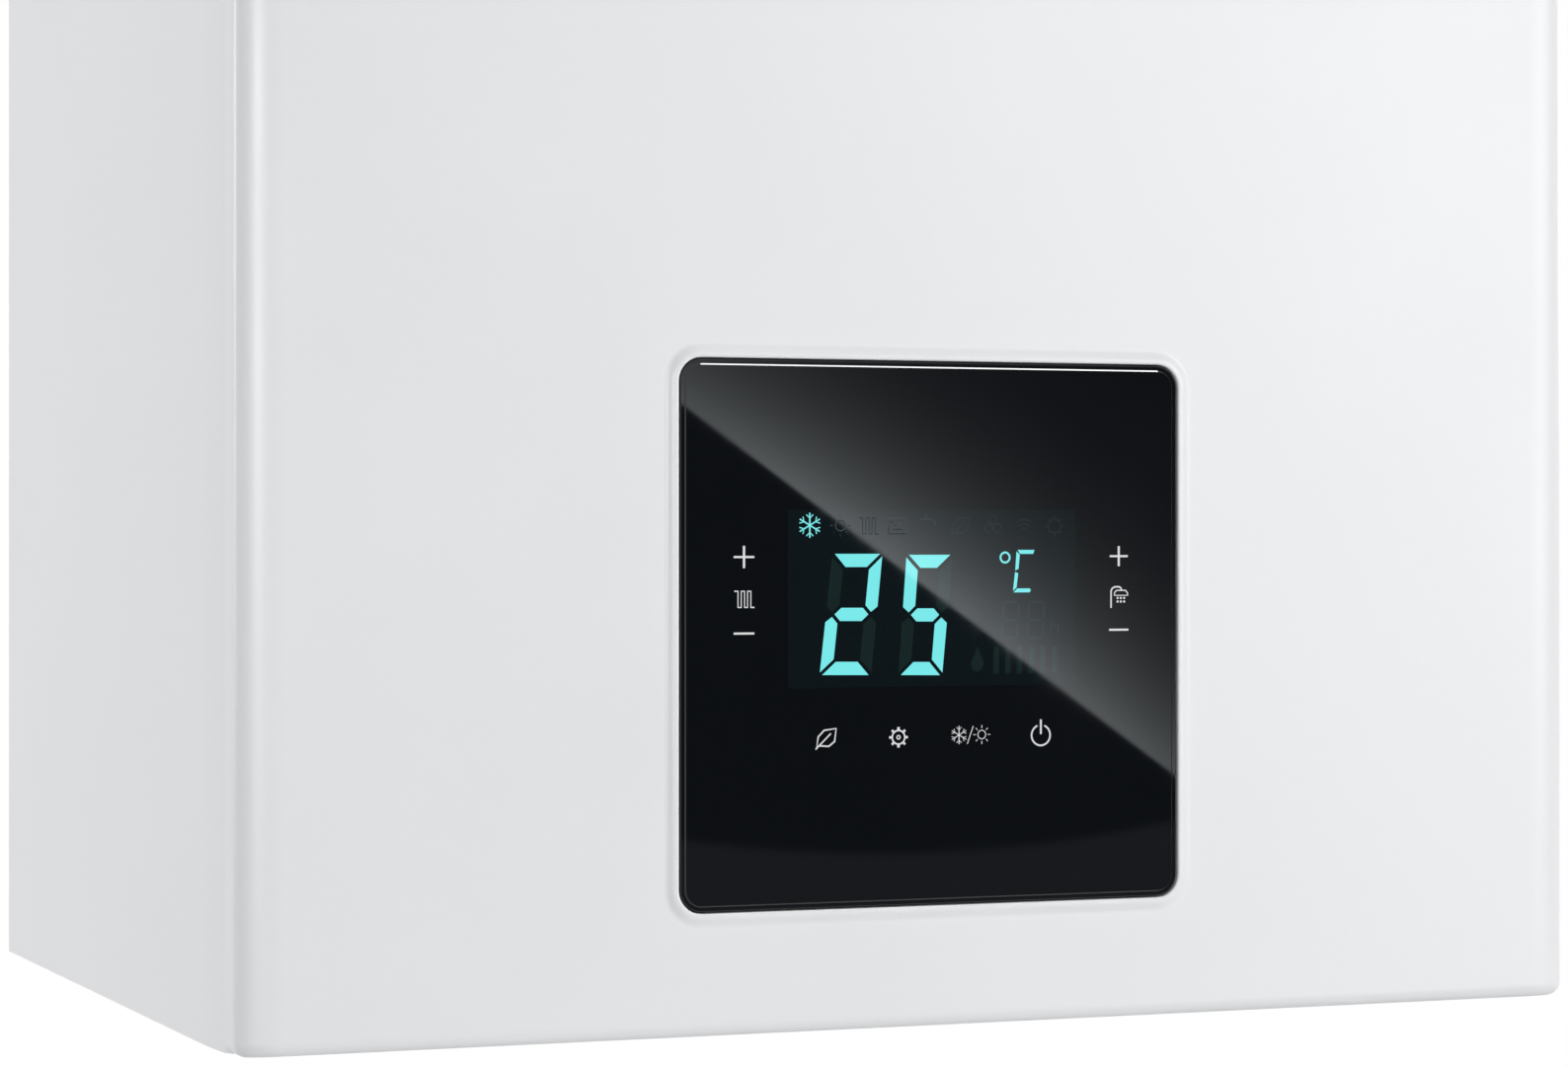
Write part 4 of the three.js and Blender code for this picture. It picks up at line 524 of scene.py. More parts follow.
FINISH = {
    "white_paint": white_coat, "galvanised": galvanised, "aluminised_steel": aluminised, "zinc": zinc_plate,
    "copper": copper, "brass": brass, "stainless": stainless, "cast_aluminium": cast_aluminium,
    "fibre": fibre_board, "ceramic": porcelain, "red_paint": vessel_paint, "pump_paint": motor_paint,
    "seal_rubber": rubber, "circuit_board": board_green, "clear_glass": clear_glass, **plastic}
print("finishes:", len(FINISH))

# %% [markdown]
# ## Side panels
# Each side is one sheet with a flange folded in at its front and at its rear. Near the front bend the
# sheet runs slightly inwards, so that the cover's return closes flush with it. The outside of the
# folded shape is modelled first, its bends are rounded, and the sheet then gets its thickness inwards.

# %% Side panels
FRONT_FLANGE = 12
REAR_FLANGE = 14
FRONT_BEND = 3.0
REAR_BEND = 2.0
LEAD_IN = 14.0
LEAD_DEPTH = 1.2
LEAD_BEND = 9.0


def side_panel(name, outer, side):
    low, high = millimetres(name)
    panel = box(name + "_sheet", sorted((outer, outer - side * REAR_FLANGE)), (low.y, high.y),
                (low.z, high.z))
    pick(panel, "FACE", lambda centre, normal: abs(normal.z) > 0.9 or normal.x * side < -0.9)
    bpy.ops.mesh.delete(type="FACE")
    bpy.ops.mesh.select_all(action="SELECT")
    bpy.ops.mesh.bisect(plane_co=(0, (low.y + LEAD_IN) * MM, 0), plane_no=(0, 1, 0))
    object_mode()
    inner_edge = (outer - side * REAR_FLANGE) * MM
    pick(panel, "EDGE", lambda a, b: max(a.y, b.y) < low.y * MM + TINY and abs(a.x - b.x) < TINY
         and abs(a.x - inner_edge) < TINY)
    bpy.ops.transform.translate(value=(side * (REAR_FLANGE - FRONT_FLANGE) * MM, 0, 0))
    object_mode()
    front, rear = low.y * MM + TINY, high.y * MM - TINY

    def outer_edge(a, b):
        return upright(a, b) and abs(a.x - outer * MM) < TINY

    pick(panel, "EDGE", lambda a, b: outer_edge(a, b) and a.y < front)
    bpy.ops.transform.translate(value=(-side * LEAD_DEPTH * MM, 0, 0))
    bpy.ops.mesh.bevel(offset=FRONT_BEND * MM, segments=6, affect="EDGES")
    object_mode()
    round_edges(panel, lambda a, b: outer_edge(a, b) and front < a.y < rear, LEAD_BEND, 8)
    round_edges(panel, lambda a, b: outer_edge(a, b) and a.y > rear, REAR_BEND, 4)
    outward(panel)
    if sum(face.normal.x * side * face.area for face in panel.data.polygons) < 0:
        edit_all(panel)
        bpy.ops.mesh.flip_normals()
        object_mode()
    modify(panel, "SOLIDIFY", thickness=SHEET * MM, offset=-1, use_even_offset=True)
    smooth(panel, 40)
    print(panel.name, "depth in mm:", round(high.y - low.y, 1))
    return dress(panel, white_coat, "white_paint", "casing", name)


side_panel("left_side_panel", -200, -1)
side_panel("right_side_panel", 200, 1)

# %% [markdown]
# ## Folded sheet metal
# Top panel, bottom tray and rear frame are sheets with their edges folded over. Each starts as a box,
# loses the sides that are open, gets its folds rounded by a millimetre or so, and is thickened inwards.
# Holes are cut last with round cutters. Round things, such as screws and nipples, are turned: a circle
# is extruded along its profile.

# %% Folded sheet and turned shapes
POLE_RADIUS = 0.02
RING_GAP = 0.004
COPY_GAP = 0.002
AXIS_INDEX = {"x": 0, "y": 1, "z": 2}
BODY_OF = {node: body for body, nodes in frame["record"]["behaviour"]["bodies"].items() for node in nodes}


def finish(piece, slot, *nodes, body=None):
    """Dresses a piece from its slot, on the body of the node that it stands for."""
    return dress(piece, FINISH[slot], slot, body or BODY_OF[nodes[0]], *nodes)


def folded(name, x, y, z, open_sides, radius, thickness):
    """open_sides says which sides of the box are missing, such as ("+y", "-z")."""
    piece = box(name, x, y, z)
    missing = [((1 if side[0] == "+" else -1), AXIS_INDEX[side[1]]) for side in open_sides]
    pick(piece, "FACE", lambda centre, normal: any(normal[axis] * sign > 0.9 for sign, axis in missing))
    bpy.ops.mesh.delete(type="FACE")
    object_mode()
    modify(piece, "BEVEL", width=radius * MM, segments=4, limit_method="ANGLE", angle_limit=math.radians(60))
    return modify(piece, "SOLIDIFY", thickness=thickness * MM, offset=-1, use_even_offset=True)


def turned(name, axis, across, profile, steps=48):
    """A turned shape: a circle is extruded from ring to ring. Profile lists radius and place along the
    axis. One that ends where it starts is a tube, and any other is closed with a face at both ends."""
    first = max(profile[0][0], POLE_RADIUS)
    origin = {"x": (0, *across), "y": (across[0], 0, across[1]), "z": (*across, 0)}[axis]
    unit = Vector({"x": (1, 0, 0), "y": (0, 1, 0), "z": (0, 0, 1)}[axis])
    object_mode()
    bpy.ops.mesh.primitive_circle_add(vertices=steps, radius=first * MM, rotation=TURN_TO[axis],
                                      location=(Vector(origin) + unit * profile[0][1]) * MM)
    piece = new_piece(name)
    tube = len(profile) > 2 and profile[0] == profile[-1]
    bpy.ops.object.mode_set(mode="EDIT")
    bpy.ops.mesh.select_mode(type="VERT")
    bpy.ops.mesh.select_all(action="SELECT")
    if not tube:
        bpy.ops.mesh.edge_face_add()
        bpy.ops.mesh.select_all(action="SELECT")
    before = first
    for (radius, height), (_, last) in zip(profile[1:], profile):
        radius = max(radius, POLE_RADIUS)
        bpy.ops.mesh.extrude_region_move(TRANSFORM_OT_translate={"value": unit * (height - last) * MM})
        scale = radius / before
        size = [scale if unit[i] == 0 else 1 for i in range(3)]
        centre = (Vector(origin) + unit * height) * MM
        bpy.ops.transform.resize(value=size, center_override=centre)
        before = radius
    bpy.ops.mesh.select_all(action="SELECT")
    bpy.ops.mesh.remove_doubles(threshold=RING_GAP * MM)
    bpy.ops.mesh.normals_make_consistent(inside=False)
    object_mode()
    return piece


def lathe(name, axis, across, profile, steps=48, degrees=32):
    """A turned shape that is shaded round."""
    return smooth(turned(name, axis, across, profile, steps), degrees)


def copy_of(node, name=None):
    """A copy of an engineering solid to refine: triangles merged, flat areas made single faces."""
    source = frame["nodes"][node]
    piece = source.copy()
    piece.data = source.data.copy()
    piece.name = piece.data.name = name or node + "_piece"
    bpy.context.scene.collection.objects.link(piece)
    for key in list(piece.keys()):
        del piece[key]
    piece.parent = None
    piece.matrix_world = Matrix.Identity(4)
    only(piece)
    bpy.ops.mesh.customdata_custom_splitnormals_clear()
    edit_all(piece)
    bpy.ops.mesh.remove_doubles(threshold=COPY_GAP * MM)
    bpy.ops.mesh.dissolve_limited(angle_limit=math.radians(1))
    object_mode()
    return piece


def screw_head(name, axis, across, seat, out, radius=4.0, height=2.4):
    """A pan head with a cross slot, seated at seat and looking along out, which is 1 or -1."""
    top = seat + out * height
    head = turned(name, axis, across, [
        (0, seat), (radius, seat), (radius, seat + out * height * 0.45),
        (radius * 0.85, seat + out * height * 0.85), (radius * 0.45, top), (0, top)], 24)
    half, reach = radius * 0.14, radius * 0.62
    for wide, narrow in ((reach, half), (half, reach)):
        spans = [(across[0] - wide, across[0] + wide), (across[1] - narrow, across[1] + narrow)]
        along = tuple(sorted((top - out * height * 0.5, top + out)))
        spans.insert(AXIS_INDEX[axis], along)
        carve(head, box("slot", *spans))
    return head


# %% Top panel
EDGE_FOLD = 1.4
RELIEF_FRONT = -37.3
deck_low, deck_high = millimetres("top_panel")
CUT = 5
FLUE_Y = -175.0
top_panel = folded("top_panel_sheet", (deck_low.x, deck_high.x), (deck_low.y, deck_high.y),
                   (deck_low.z, deck_high.z), ("+y", "-z"), EDGE_FOLD, SHEET)
carve(top_panel, rod("hole", "z", 50.4, deck_low.z - CUT, deck_high.z + CUT, (0, FLUE_Y), 96))
carve(top_panel, box("relief", (deck_low.x - CUT, deck_high.x + CUT), (RELIEF_FRONT, 10),
                     (deck_low.z - CUT, deck_high.z - 1.6)))
smooth(top_panel, 40)
finish(top_panel, "white_paint", "top_panel")

# %% [markdown]
# ## Bottom tray
# The tray carries the five ports, the cover's two screws and the two ears on which the control box
# tilts. Ears are separate brackets spot-welded on, with a rounded top.

# %% Bottom tray
tray_low, tray_high = millimetres("bottom_tray")
PORT_Y = -105.0
PORTS = {"flow_connection": (-130, 13.2), "hot_water_connection": (-65, 10.5), "gas_inlet_pipe": (0, 13.2),
         "cold_water_connection": (65, 10.5), "return_connection": (130, 13.2)}
HOLE_GAP = 0.8
FILLING_X = 97.5
SCREW_X, SCREW_Y = 120, -278.5
HINGE_Y, HINGE_Z = -296.0, -620.5
tray = folded("bottom_tray_sheet", (tray_low.x, tray_high.x), (tray_low.y, tray_high.y),
              (tray_low.z, tray_low.z + 8), ("+y", "+z"), EDGE_FOLD, SHEET)
holes = [rod("hole", "z", radius + HOLE_GAP, -650, -630, (x, PORT_Y), 48) for x, radius in PORTS.values()]
holes += [rod("hole", "z", 4 + HOLE_GAP, -650, -630, (FILLING_X, PORT_Y)),
          rod("hole", "z", 20.3, -650, -630, (-97.5, -200), 64)]
holes += [rod("hole", "z", 2.4, -650, -630, (side * SCREW_X, SCREW_Y)) for side in (-1, 1)]
carve(tray, *holes)
carve(tray, box("relief", (tray_low.x - CUT, tray_high.x + CUT), (RELIEF_FRONT, 10),
                (tray_low.z + 1.8, -600)))
smooth(tray, 40)
fittings = []
for side in (-1, 1):
    ear_x = sorted((side * 151.0, side * 154.0))
    ear = box("ear", ear_x, (-299.3, -280.0), (-638.1, -613.5))
    pick(ear, "EDGE", lambda a, b: abs(a.z - b.z) < TINY and abs(a.y - b.y) < TINY and a.z > -614 * MM)
    bpy.ops.mesh.bevel(offset=3.2 * MM, segments=6, affect="EDGES")
    carve(ear, rod("pin_hole", "x", 3.3, ear_x[0] - 2, ear_x[1] + 2, (HINGE_Y, HINGE_Z)))
    fittings.append(soften(ear, 0.4))
    boss = lathe("boss", "z", (side * SCREW_X, SCREW_Y), [
        (2.4, -638.4), (4.5, -638.4), (4.5, -633.2), (4.0, -632.7), (2.9, -632.7), (2.4, -633.1),
        (2.4, -638.4)], 32, degrees=38)
    fittings.append(boss)
tray = merge("bottom_tray_sheet", tray, *fittings)
finish(tray, "white_paint", "bottom_tray")

# %% Cover screws
for side, node in ((-1, "cover_screw_left"), (1, "cover_screw_right")):
    head = screw_head("head", "z", (side * SCREW_X, SCREW_Y), -640.3, -1, 4.0, 1.4)
    shank = [(1.9, -640.4)]
    for i in range(11):
        shank += [(1.95, -639.9 + 0.8 * i), (1.55, -639.5 + 0.8 * i)]
    shank += [(1.2, -630.9), (0, -630.7)]
    piece = merge(node + "_turned", smooth(head),
                  lathe("shank", "z", (side * SCREW_X, SCREW_Y), [(0, -640.4)] + shank, 24, degrees=25))
    finish(piece, "zinc", node)

# %% [markdown]
# ## Rear frame and wall bracket
# The frame is the boiler's back: a galvanised plate with side flanges, two ledges for the chamber and a
# hook that hangs on the bracket. Upright beads are pressed into the plate to stiffen it. A bead is a
# bar with rounded ends and edges, sunk into the sheet so that only its crown shows.

# %% Rear frame
FRAME_SHEET = 1.2
frame_low, frame_high = millimetres("rear_frame")
PLATE_BACK = -10.8
BEAD_HALF = 8
BEAD_RISE = 2.4
BEAD_SUNK = 1.1
back_plate = folded("plate", (frame_low.x, frame_high.x), (-37, PLATE_BACK), (frame_low.z, 57.4),
                    ("-y", "+z", "-z"), EDGE_FOLD, FRAME_SHEET)
carve(back_plate, *[rod("hole", "y", 7, -14, -8, (x, z), 32) for x in (-176, 176) for z in (-600, -300, 20)])
parts = [smooth(back_plate, 40)]


def bead(x, z):
    bar = box("bead", x, (PLATE_BACK - BEAD_SUNK, PLATE_BACK + BEAD_RISE), z)
    round_edges(bar, lambda a, b: abs(a.y - b.y) > 2 * MM, BEAD_HALF - 0.1, 10)
    round_edges(bar, lambda a, b: min(a.y, b.y) > (PLATE_BACK + BEAD_RISE - 0.1) * MM, BEAD_RISE - 0.2, 5)
    return smooth(bar, 50)


for x in (-120, -40, 40, 120):
    parts.append(bead((x - BEAD_HALF, x + BEAD_HALF), (-560, -60)))
for z in (-604, -16):
    parts.append(bead((-150, 150), (z - BEAD_HALF, z + BEAD_HALF)))
for side in (-1, 1):
    span = sorted((side * 198.7, side * 173.7))
    ledge = folded("ledge", span, (-271, -12.5), (-426.3, -406.3),
                   ("-z", "+y", "-y", "-x" if side > 0 else "+x"), EDGE_FOLD, FRAME_SHEET)
    parts.append(smooth(ledge, 40))
hook = folded("hook", (-140, 140), (-11.4, -4.5), (16, 31.5), ("-z", "-y", "+x", "-x"), 1.0, FRAME_SHEET)
parts.append(smooth(hook, 40))
finish(merge("rear_frame_sheet", *parts), "galvanised", "rear_frame")

# %% Wall bracket
bracket = soften(copy_of("wall_bracket", "wall_bracket_rail"), 0.5, 3)
finish(bracket, "galvanised", "wall_bracket")
print("casing pieces done")

# %% [markdown]
# ## Touch glass
# The control panel is a 3 mm glass, printed black behind. Black glass is mostly a mirror: its own
# colour is nearly nothing, so what counts is a very low roughness, with a trace of handling that dulls
# it a little in clouds. A flat lip runs round the pane, and a narrow ground facet leads from the lip up
# to the face. The facet catches the studio's lights as a thin bright line.

# %% Touch glass
GLASS_ROUGHNESS = 0.018
black_glass = surface("black_printed_glass", "#0b0e12", "#0d1014", GLASS_ROUGHNESS, grain=30, relief=0.001,
                      drift=35, spread=0.006, IOR=1.52)[0]
GLASS_GAP = 0.4
GLASS_BEVEL = 0.25
GLASS_LIP = 1.0
FACET_WIDTH = 0.35
FACET_STEP = 0.25
glass_face = glass_low.y
lip_face = glass_face + FACET_STEP

glass = rounded_square("touch_glass_pane", WINDOW - 2 * GLASS_GAP, WINDOW_RADIUS - GLASS_GAP, lip_face)
modify(glass, "SOLIDIFY", thickness=(glass_high.y - lip_face) * MM, offset=-1)
round_edges(glass, lambda a, b: max(abs(end.y - lip_face * MM) for end in (a, b)) < TINY, GLASS_BEVEL, 2)
pick(glass, "FACE", lambda centre, normal: abs(centre.y - lip_face * MM) < TINY and normal.y < -0.99)
bpy.ops.mesh.inset(thickness=GLASS_LIP * MM)
bpy.ops.mesh.inset(thickness=FACET_WIDTH * MM, depth=FACET_STEP * MM)
object_mode()
smooth(glass, 15)
dress(glass, black_glass, "black_glass", "control_panel", "touch_glass")
print("glass faces:", len(glass.data.polygons), "face at",
      round(min(v.co.y for v in glass.data.vertices) / MM, 3))

# %% [markdown]
# ## Lit marks behind the glass
# A grid of lamps shines through slots in the black print, so a mark is a flat patch of light with crisp
# edges. Here each mark is a patch a few thousandths of a millimetre thick on the glass, as shiny as the
# glass, so the room is mirrored across it. A line is walked point by point and given a round section
# that is then pressed flat. A filled shape is walked round and filled.
# Marks are placed in mm from the middle of the glass: u to the right, v up.

# %% Inks: bright cyan, white, and the faint grey green of an unlit lamp
MARK_Y = glass_face - 0.012
MARK_THICK = 0.004


def lamp_ink(name, colour, edge, glow, print_light="#202426", print_dark="#1c2022"):
    """A patch of light whose brightness drifts a little, as lamps behind a slot do, in its dark print."""
    material, tree, shader, _ = surface(name, print_light, print_dark, GLASS_ROUGHNESS, grain=30,
                                        relief=0.001, drift=6, spread=0.006, IOR=1.52)
    place = put(tree, "ShaderNodeTexCoord").outputs["Object"]
    drift = put(tree, "ShaderNodeTexNoise", {"Vector": place, "Scale": 1 / (7 * MM), "Detail": 1.0})
    shade = put(tree, "ShaderNodeMix", {"Factor": drift.outputs["Fac"], 6: linear(colour), 7: linear(edge)},
                data_type="RGBA")
    tree.links.new(shade.outputs[2], shader.inputs["Emission Color"])
    shader.inputs["Emission Strength"].default_value = glow
    return material


lit_ink = lamp_ink("cyan_lamp_light", "#78eef2", "#80f2f0", 0.92)
key_ink = lamp_ink("white_lamp_light", "#f4f6f6", "#eef0f2", 0.8)
ghost_ink = lamp_ink("unlit_lamp", "#142322", "#122020", 0.35, "#152423", "#122020")
window_ink = lamp_ink("smoky_window_print", "#0b1216", "#0a1014", 0.2, "#0d161a", "#0c1418")


# %% Walk along points, as lines or as filled patches
def walk(points, closed=False):
    """One vertex, extruded from point to point in edit mode."""
    object_mode()
    start = Vector((window_x + points[0][0], MARK_Y, window_z + points[0][1])) * MM
    bpy.ops.mesh.primitive_plane_add(size=MM, location=start, rotation=(math.radians(90), 0, 0))
    piece = new_piece("mark")
    bpy.ops.object.mode_set(mode="EDIT")
    bpy.ops.mesh.select_mode(type="VERT")
    bpy.ops.mesh.select_all(action="SELECT")
    bpy.ops.mesh.merge(type="CENTER")
    for before, after in zip(points, points[1:]):
        step = Vector((after[0] - before[0], 0, after[1] - before[1])) * MM
        bpy.ops.mesh.extrude_region_move(TRANSFORM_OT_translate={"value": step})
    bpy.ops.mesh.select_all(action="SELECT")
    if closed:
        bpy.ops.mesh.edge_face_add()
    object_mode()
    return piece


def line(points, width, closed=False):
    """A line of light: the walked edges get a round section, pressed flat onto the glass."""
    if closed:
        points = points + [points[0]]
    piece = walk(points)
    edit_all(piece)
    if closed:
        bpy.ops.mesh.remove_doubles(threshold=0.002 * MM)
    object_mode()
    bpy.ops.object.convert(target="CURVE")
    curve = bpy.context.object
    curve.data.bevel_depth = width / 2 * MM
    curve.data.bevel_resolution = 1
    curve.data.use_fill_caps = True
    bpy.ops.object.convert(target="MESH")
    piece = bpy.context.object
    edit_all(piece)
    bpy.ops.transform.resize(value=(1, MARK_THICK / width, 1), center_override=(0, MARK_Y * MM, 0))
    object_mode()
    return piece


def patch(points):
    """A filled shape, MARK_THICK thick."""
    piece = walk(points, closed=True)
    return modify(piece, "SOLIDIFY", thickness=MARK_THICK * MM, offset=0)


def circle(u, v, radius, steps=20, start=0, sweep=360):
    angles = [math.radians(start + sweep * i / steps) for i in range(steps + (sweep < 360))]
    return [(u + radius * math.cos(a), v + radius * math.sin(a)) for a in angles]


# %% [markdown]
# ## Figures and signs
# The two large figures show the water temperature with seven slanted bars each. A bar has mitred ends
# with a gap of a millimetre to the next, and all seven are there: the ones that aren't lit can just be
# seen. The signs round the figures are simple line drawings.

# %% Seven-bar figures
ALL_BARS = "abcdefg"
BARS_OF = {2: "abged", 5: "afgcd"}
UNLIT_OF = {number: "".join(bar for bar in ALL_BARS if bar not in lit) for number, lit in BARS_OF.items()}


def figure(corners, thickness, gap, bars):
    """The patches of some bars of a figure whose four outer corners are given: tl, tr, bl, br."""
    (x1, y1), (x2, y2), (x3, y3), (x4, y4) = corners
    width, height = (x2 - x1 + x4 - x3) / 2, (y1 - y3 + y2 - y4) / 2
    t, e, half = thickness, gap * 0.7, height / 2
    shapes = {
        "a": [(e, height), (width - e, height), (width - t - e, height - t), (t + e, height - t)],
        "d": [(t + e, t), (width - t - e, t), (width - e, 0), (e, 0)],
        "g": [(t / 2 + e, half), (t + e, half + t / 2), (width - t - e, half + t / 2),
              (width - t / 2 - e, half), (width - t - e, half - t / 2), (t + e, half - t / 2)],
        "f": [(0, height - e), (t, height - t - e), (t, half + t / 2 + e), (t / 2, half + e),
              (0, half + t / 2 + e / 2)],
        "e": [(0, e), (0, half - t / 2 - e / 2), (t / 2, half - e), (t, half - t / 2 - e), (t, t + e)],
    }
    shapes["b"] = [(width - x, y) for x, y in reversed(shapes["f"])]
    shapes["c"] = [(width - x, y) for x, y in reversed(shapes["e"])]

    def slanted(x, y):
        s, r = x / width, y / height
        bottom = (x3 + (x4 - x3) * s, y3 + (y4 - y3) * s)
        top = (x1 + (x2 - x1) * s, y1 + (y2 - y1) * s)
        return bottom[0] + (top[0] - bottom[0]) * r, bottom[1] + (top[1] - bottom[1]) * r

    return [patch([slanted(*point) for point in shapes[bar]]) for bar in bars]


def star(u, v, radius, width):
    """A snow crystal: six arms, each with a small V near its tip."""
    arms = []
    for i in range(6):
        angle = math.radians(30 + 60 * i)
        along = Vector((math.cos(angle), math.sin(angle)))
        across = Vector((-along.y, along.x))
        middle = Vector((u, v))
        tip = middle + along * radius
        arms.append(line([tuple(middle), tuple(tip)], width))
        root = middle + along * radius * 0.56
        branch = radius * 0.3
        arms.append(line([tuple(root + (along + across) * branch), tuple(root),
                          tuple(root + (along - across) * branch)], width * 0.8))
    return arms


def rays(u, v, inner, outer, width, count=8):
    """Short lines that stand round a middle, such as a sun's rays or a gear's teeth."""
    marks = []
    for i in range(count):
        angle = math.tau * i / count
        marks.append(line([(u + reach * math.cos(angle), v + reach * math.sin(angle))
                           for reach in (inner, outer)], width))
    return marks


def ring(u, v, radius, steps, width):
    return line(circle(u, v, radius, steps), width, closed=True)


def sun(u, v, inner, outer, reach, width):
    return [ring(u, v, inner, 16, width)] + rays(u, v, outer, reach, width * 0.85)


def shifted(points, u, v, scale=1.0):
    return [(u + x * scale, v + y * scale) for x, y in points]


# %% Display window
smoky_window = merge("display_window", patch([(-43.5, 34.0), (43.0, 34.0), (43.0, -14.6), (-43.5, -14.6)]))
pick(smoky_window, "FACE", lambda centre, normal: True)
bpy.ops.transform.translate(value=(0, 0.007 * MM, 0))
object_mode()
dress(smoky_window, window_ink, "black_glass", "control_panel")

# %% Lit marks: the snow crystal, 25 and the degree sign
TWO = [(-30.4, 21.9), (-15.6, 21.9), (-34.2, -11.1), (-19.0, -11.3)]
FIVE = [(-8.4, 21.6), (5.5, 21.6), (-10.8, -11.4), (2.3, -11.6)]
BAR, BAR_GAP = 3.6, 1.0
lit = star(-37.1, 29.7, 3.4, 0.44)
lit += figure(TWO, BAR, BAR_GAP, BARS_OF[2]) + figure(FIVE, BAR, BAR_GAP, BARS_OF[5])
lit.append(ring(21.4, 20.8, 1.4, 18, 0.65))
lit += [patch([(25.2, 22.9), (30.4, 22.9), (30.0, 21.8), (26.0, 21.8)]),
        patch([(24.9, 22.5), (25.9, 21.6), (25.5, 17.6), (24.5, 17.2)]),
        patch([(24.45, 16.8), (25.4, 16.4), (24.9, 12.5), (23.8, 11.5)]),
        patch([(24.0, 11.1), (28.9, 11.1), (29.3, 11.7), (28.9, 12.2), (25.1, 12.2)])]
lit_marks = merge("lit_marks", *lit)
dress(lit_marks, lit_ink, "black_glass", "control_panel")

# %% Unlit marks
RADIATOR = [
    (-2.9, 2.14), (-1.85, 2.14), (-1.85, -2.24), (-0.9, -2.24), (-0.9, 2.14), (0.05, 2.14), (0.05, -2.24),
    (0.93, -2.24), (0.93, 2.14), (1.88, 2.14), (1.88, -2.24), (2.9, -2.24)]
SPIRAL = [
    (-2.6, 2.2), (2.6, 2.2), (2.6, -2.2), (-2.6, -2.2), (-2.6, 1.0), (1.4, 1.0), (1.4, -1.0), (-1.2, -1.0),
    (-1.2, 0.0), (0.2, 0.0)]
LEAF = [(-2.6, -2.2), (-2.2, 0.4), (-0.6, 2.0), (2.6, 2.4), (2.2, -0.8), (0.6, -2.0), (-2.0, -1.8)]
THIN = 0.4
ghost = figure(TWO, BAR, BAR_GAP, UNLIT_OF[2]) + figure(FIVE, BAR, BAR_GAP, UNLIT_OF[5])
ghost += sun(-28.1, 29.6, 1.5, 2.2, 3.0, THIN)
ghost += [line(shifted(RADIATOR, -19.6, 29.6), THIN), line(shifted(SPIRAL, -11.1, 29.6), THIN),
          line(shifted([(-2.4, 1.6), (1.2, 1.6), (2.2, 0.8), (2.2, -0.6)], -1.9, 29.9), 0.7),
          line(shifted([(-0.4, 1.8), (-0.4, 2.8)], -1.9, 29.9), 0.5),
          line(shifted(LEAF, 7.9, 29.6), THIN, closed=True),
          line(shifted([(-2.8, -2.6), (1.2, 1.2)], 7.9, 29.6), THIN)]
ghost += [ring(u, v, 1.2, 12, 0.35) for u, v in circle(17.8, 29.8, 1.5, 3, 90)]
ghost += [line(circle(27.2, 27.8, radius, 8, 45, 90), 0.45) for radius in (1.2, 2.4, 3.6)]
ghost += [ring(36.6, 29.6, 1.9, 16, 0.5)] + rays(36.6, 29.6, 2.0, 2.8, 0.6)
for left in (20.6, 28.4):
    corners = [(left, 8.7), (left + 5.4, 8.7), (left - 0.7, -1.9), (left + 4.7, -1.9)]
    ghost += figure(corners, 0.7, 0.5, ALL_BARS)
ghost.append(line([(35.9, 3.6), (35.6, -0.1)], 0.6))
ghost.append(line([(35.8, 1.9), (36.6, 2.4), (37.6, 2.2), (37.9, 1.5), (37.7, -0.1)], 0.6))
FLAME = [
    (0, 3.6), (0.9, 1.6), (1.7, 0.2), (1.9, -1.2), (1.4, -2.6), (0.4, -3.2), (-0.6, -3.2), (-1.5, -2.5),
    (-1.9, -1.2), (-1.5, 0.2), (-0.8, 1.4)]
ghost.append(patch(shifted(FLAME, 12.9, -7.5)))
for i in range(6):
    left = 18.0 + 3.55 * i
    ghost.append(patch([(left, -3.9), (left + 1.6, -3.9), (left + 1.45, -11.4), (left - 0.15, -11.4)]))
ghost_marks = merge("ghost_marks", *ghost)
dress(ghost_marks, ghost_ink, "black_glass", "control_panel")

# %% Key marks
PLUS, SHORT_PLUS = 3.0, 2.8
LEFT_KEYS, RIGHT_KEYS = -56.3, 56.5
STROKE = 0.65
SHOWER_PIPE = [(-2.4, -2.9), (-2.4, 1.85), (-2.05, 2.6), (-1.2, 3.0), (0.1, 3.0), (0.75, 2.6), (0.8, 2.0)]
SHOWER_HEAD = [(-1.4, 0.6), (-1.3, 1.4), (-0.7, 2.0), (2.1, 2.0), (2.7, 1.3), (2.8, 0.6)]


def minus(u, v, reach=PLUS):
    return [line([(u - reach, v), (u + reach, v)], STROKE)]


def plus(u, v, reach=PLUS):
    return minus(u, v, reach) + [line([(u, v - reach), (u, v + reach)], STROKE)]


keys = plus(LEFT_KEYS, 21.1) + minus(LEFT_KEYS, 0.4) + [line(shifted(RADIATOR, -56.2, 9.7), 0.45)]
keys += plus(RIGHT_KEYS, 21.1, SHORT_PLUS) + minus(RIGHT_KEYS, 0.45)
keys += [line(shifted(SHOWER_PIPE, RIGHT_KEYS, 9.5), 0.45),
         line(shifted(SHOWER_HEAD, RIGHT_KEYS, 9.5), 0.4, closed=True)]
keys += [patch(circle(RIGHT_KEYS + u, 9.5 + v, 0.34, 8)) for u in (-0.36, 0.64, 1.67) for v in (-0.14, -1.14)]
keys += [line(shifted(LEAF, -32.2, -28.4, 1.1), 0.5, closed=True),
         line(shifted([(-2.9, -2.7), (1.2, 1.2)], -32.2, -28.4, 1.1), 0.45),
         ring(-10.8, -28.5, 1.9, 18, 0.5), ring(-10.8, -28.5, 0.5, 10, 0.4)]
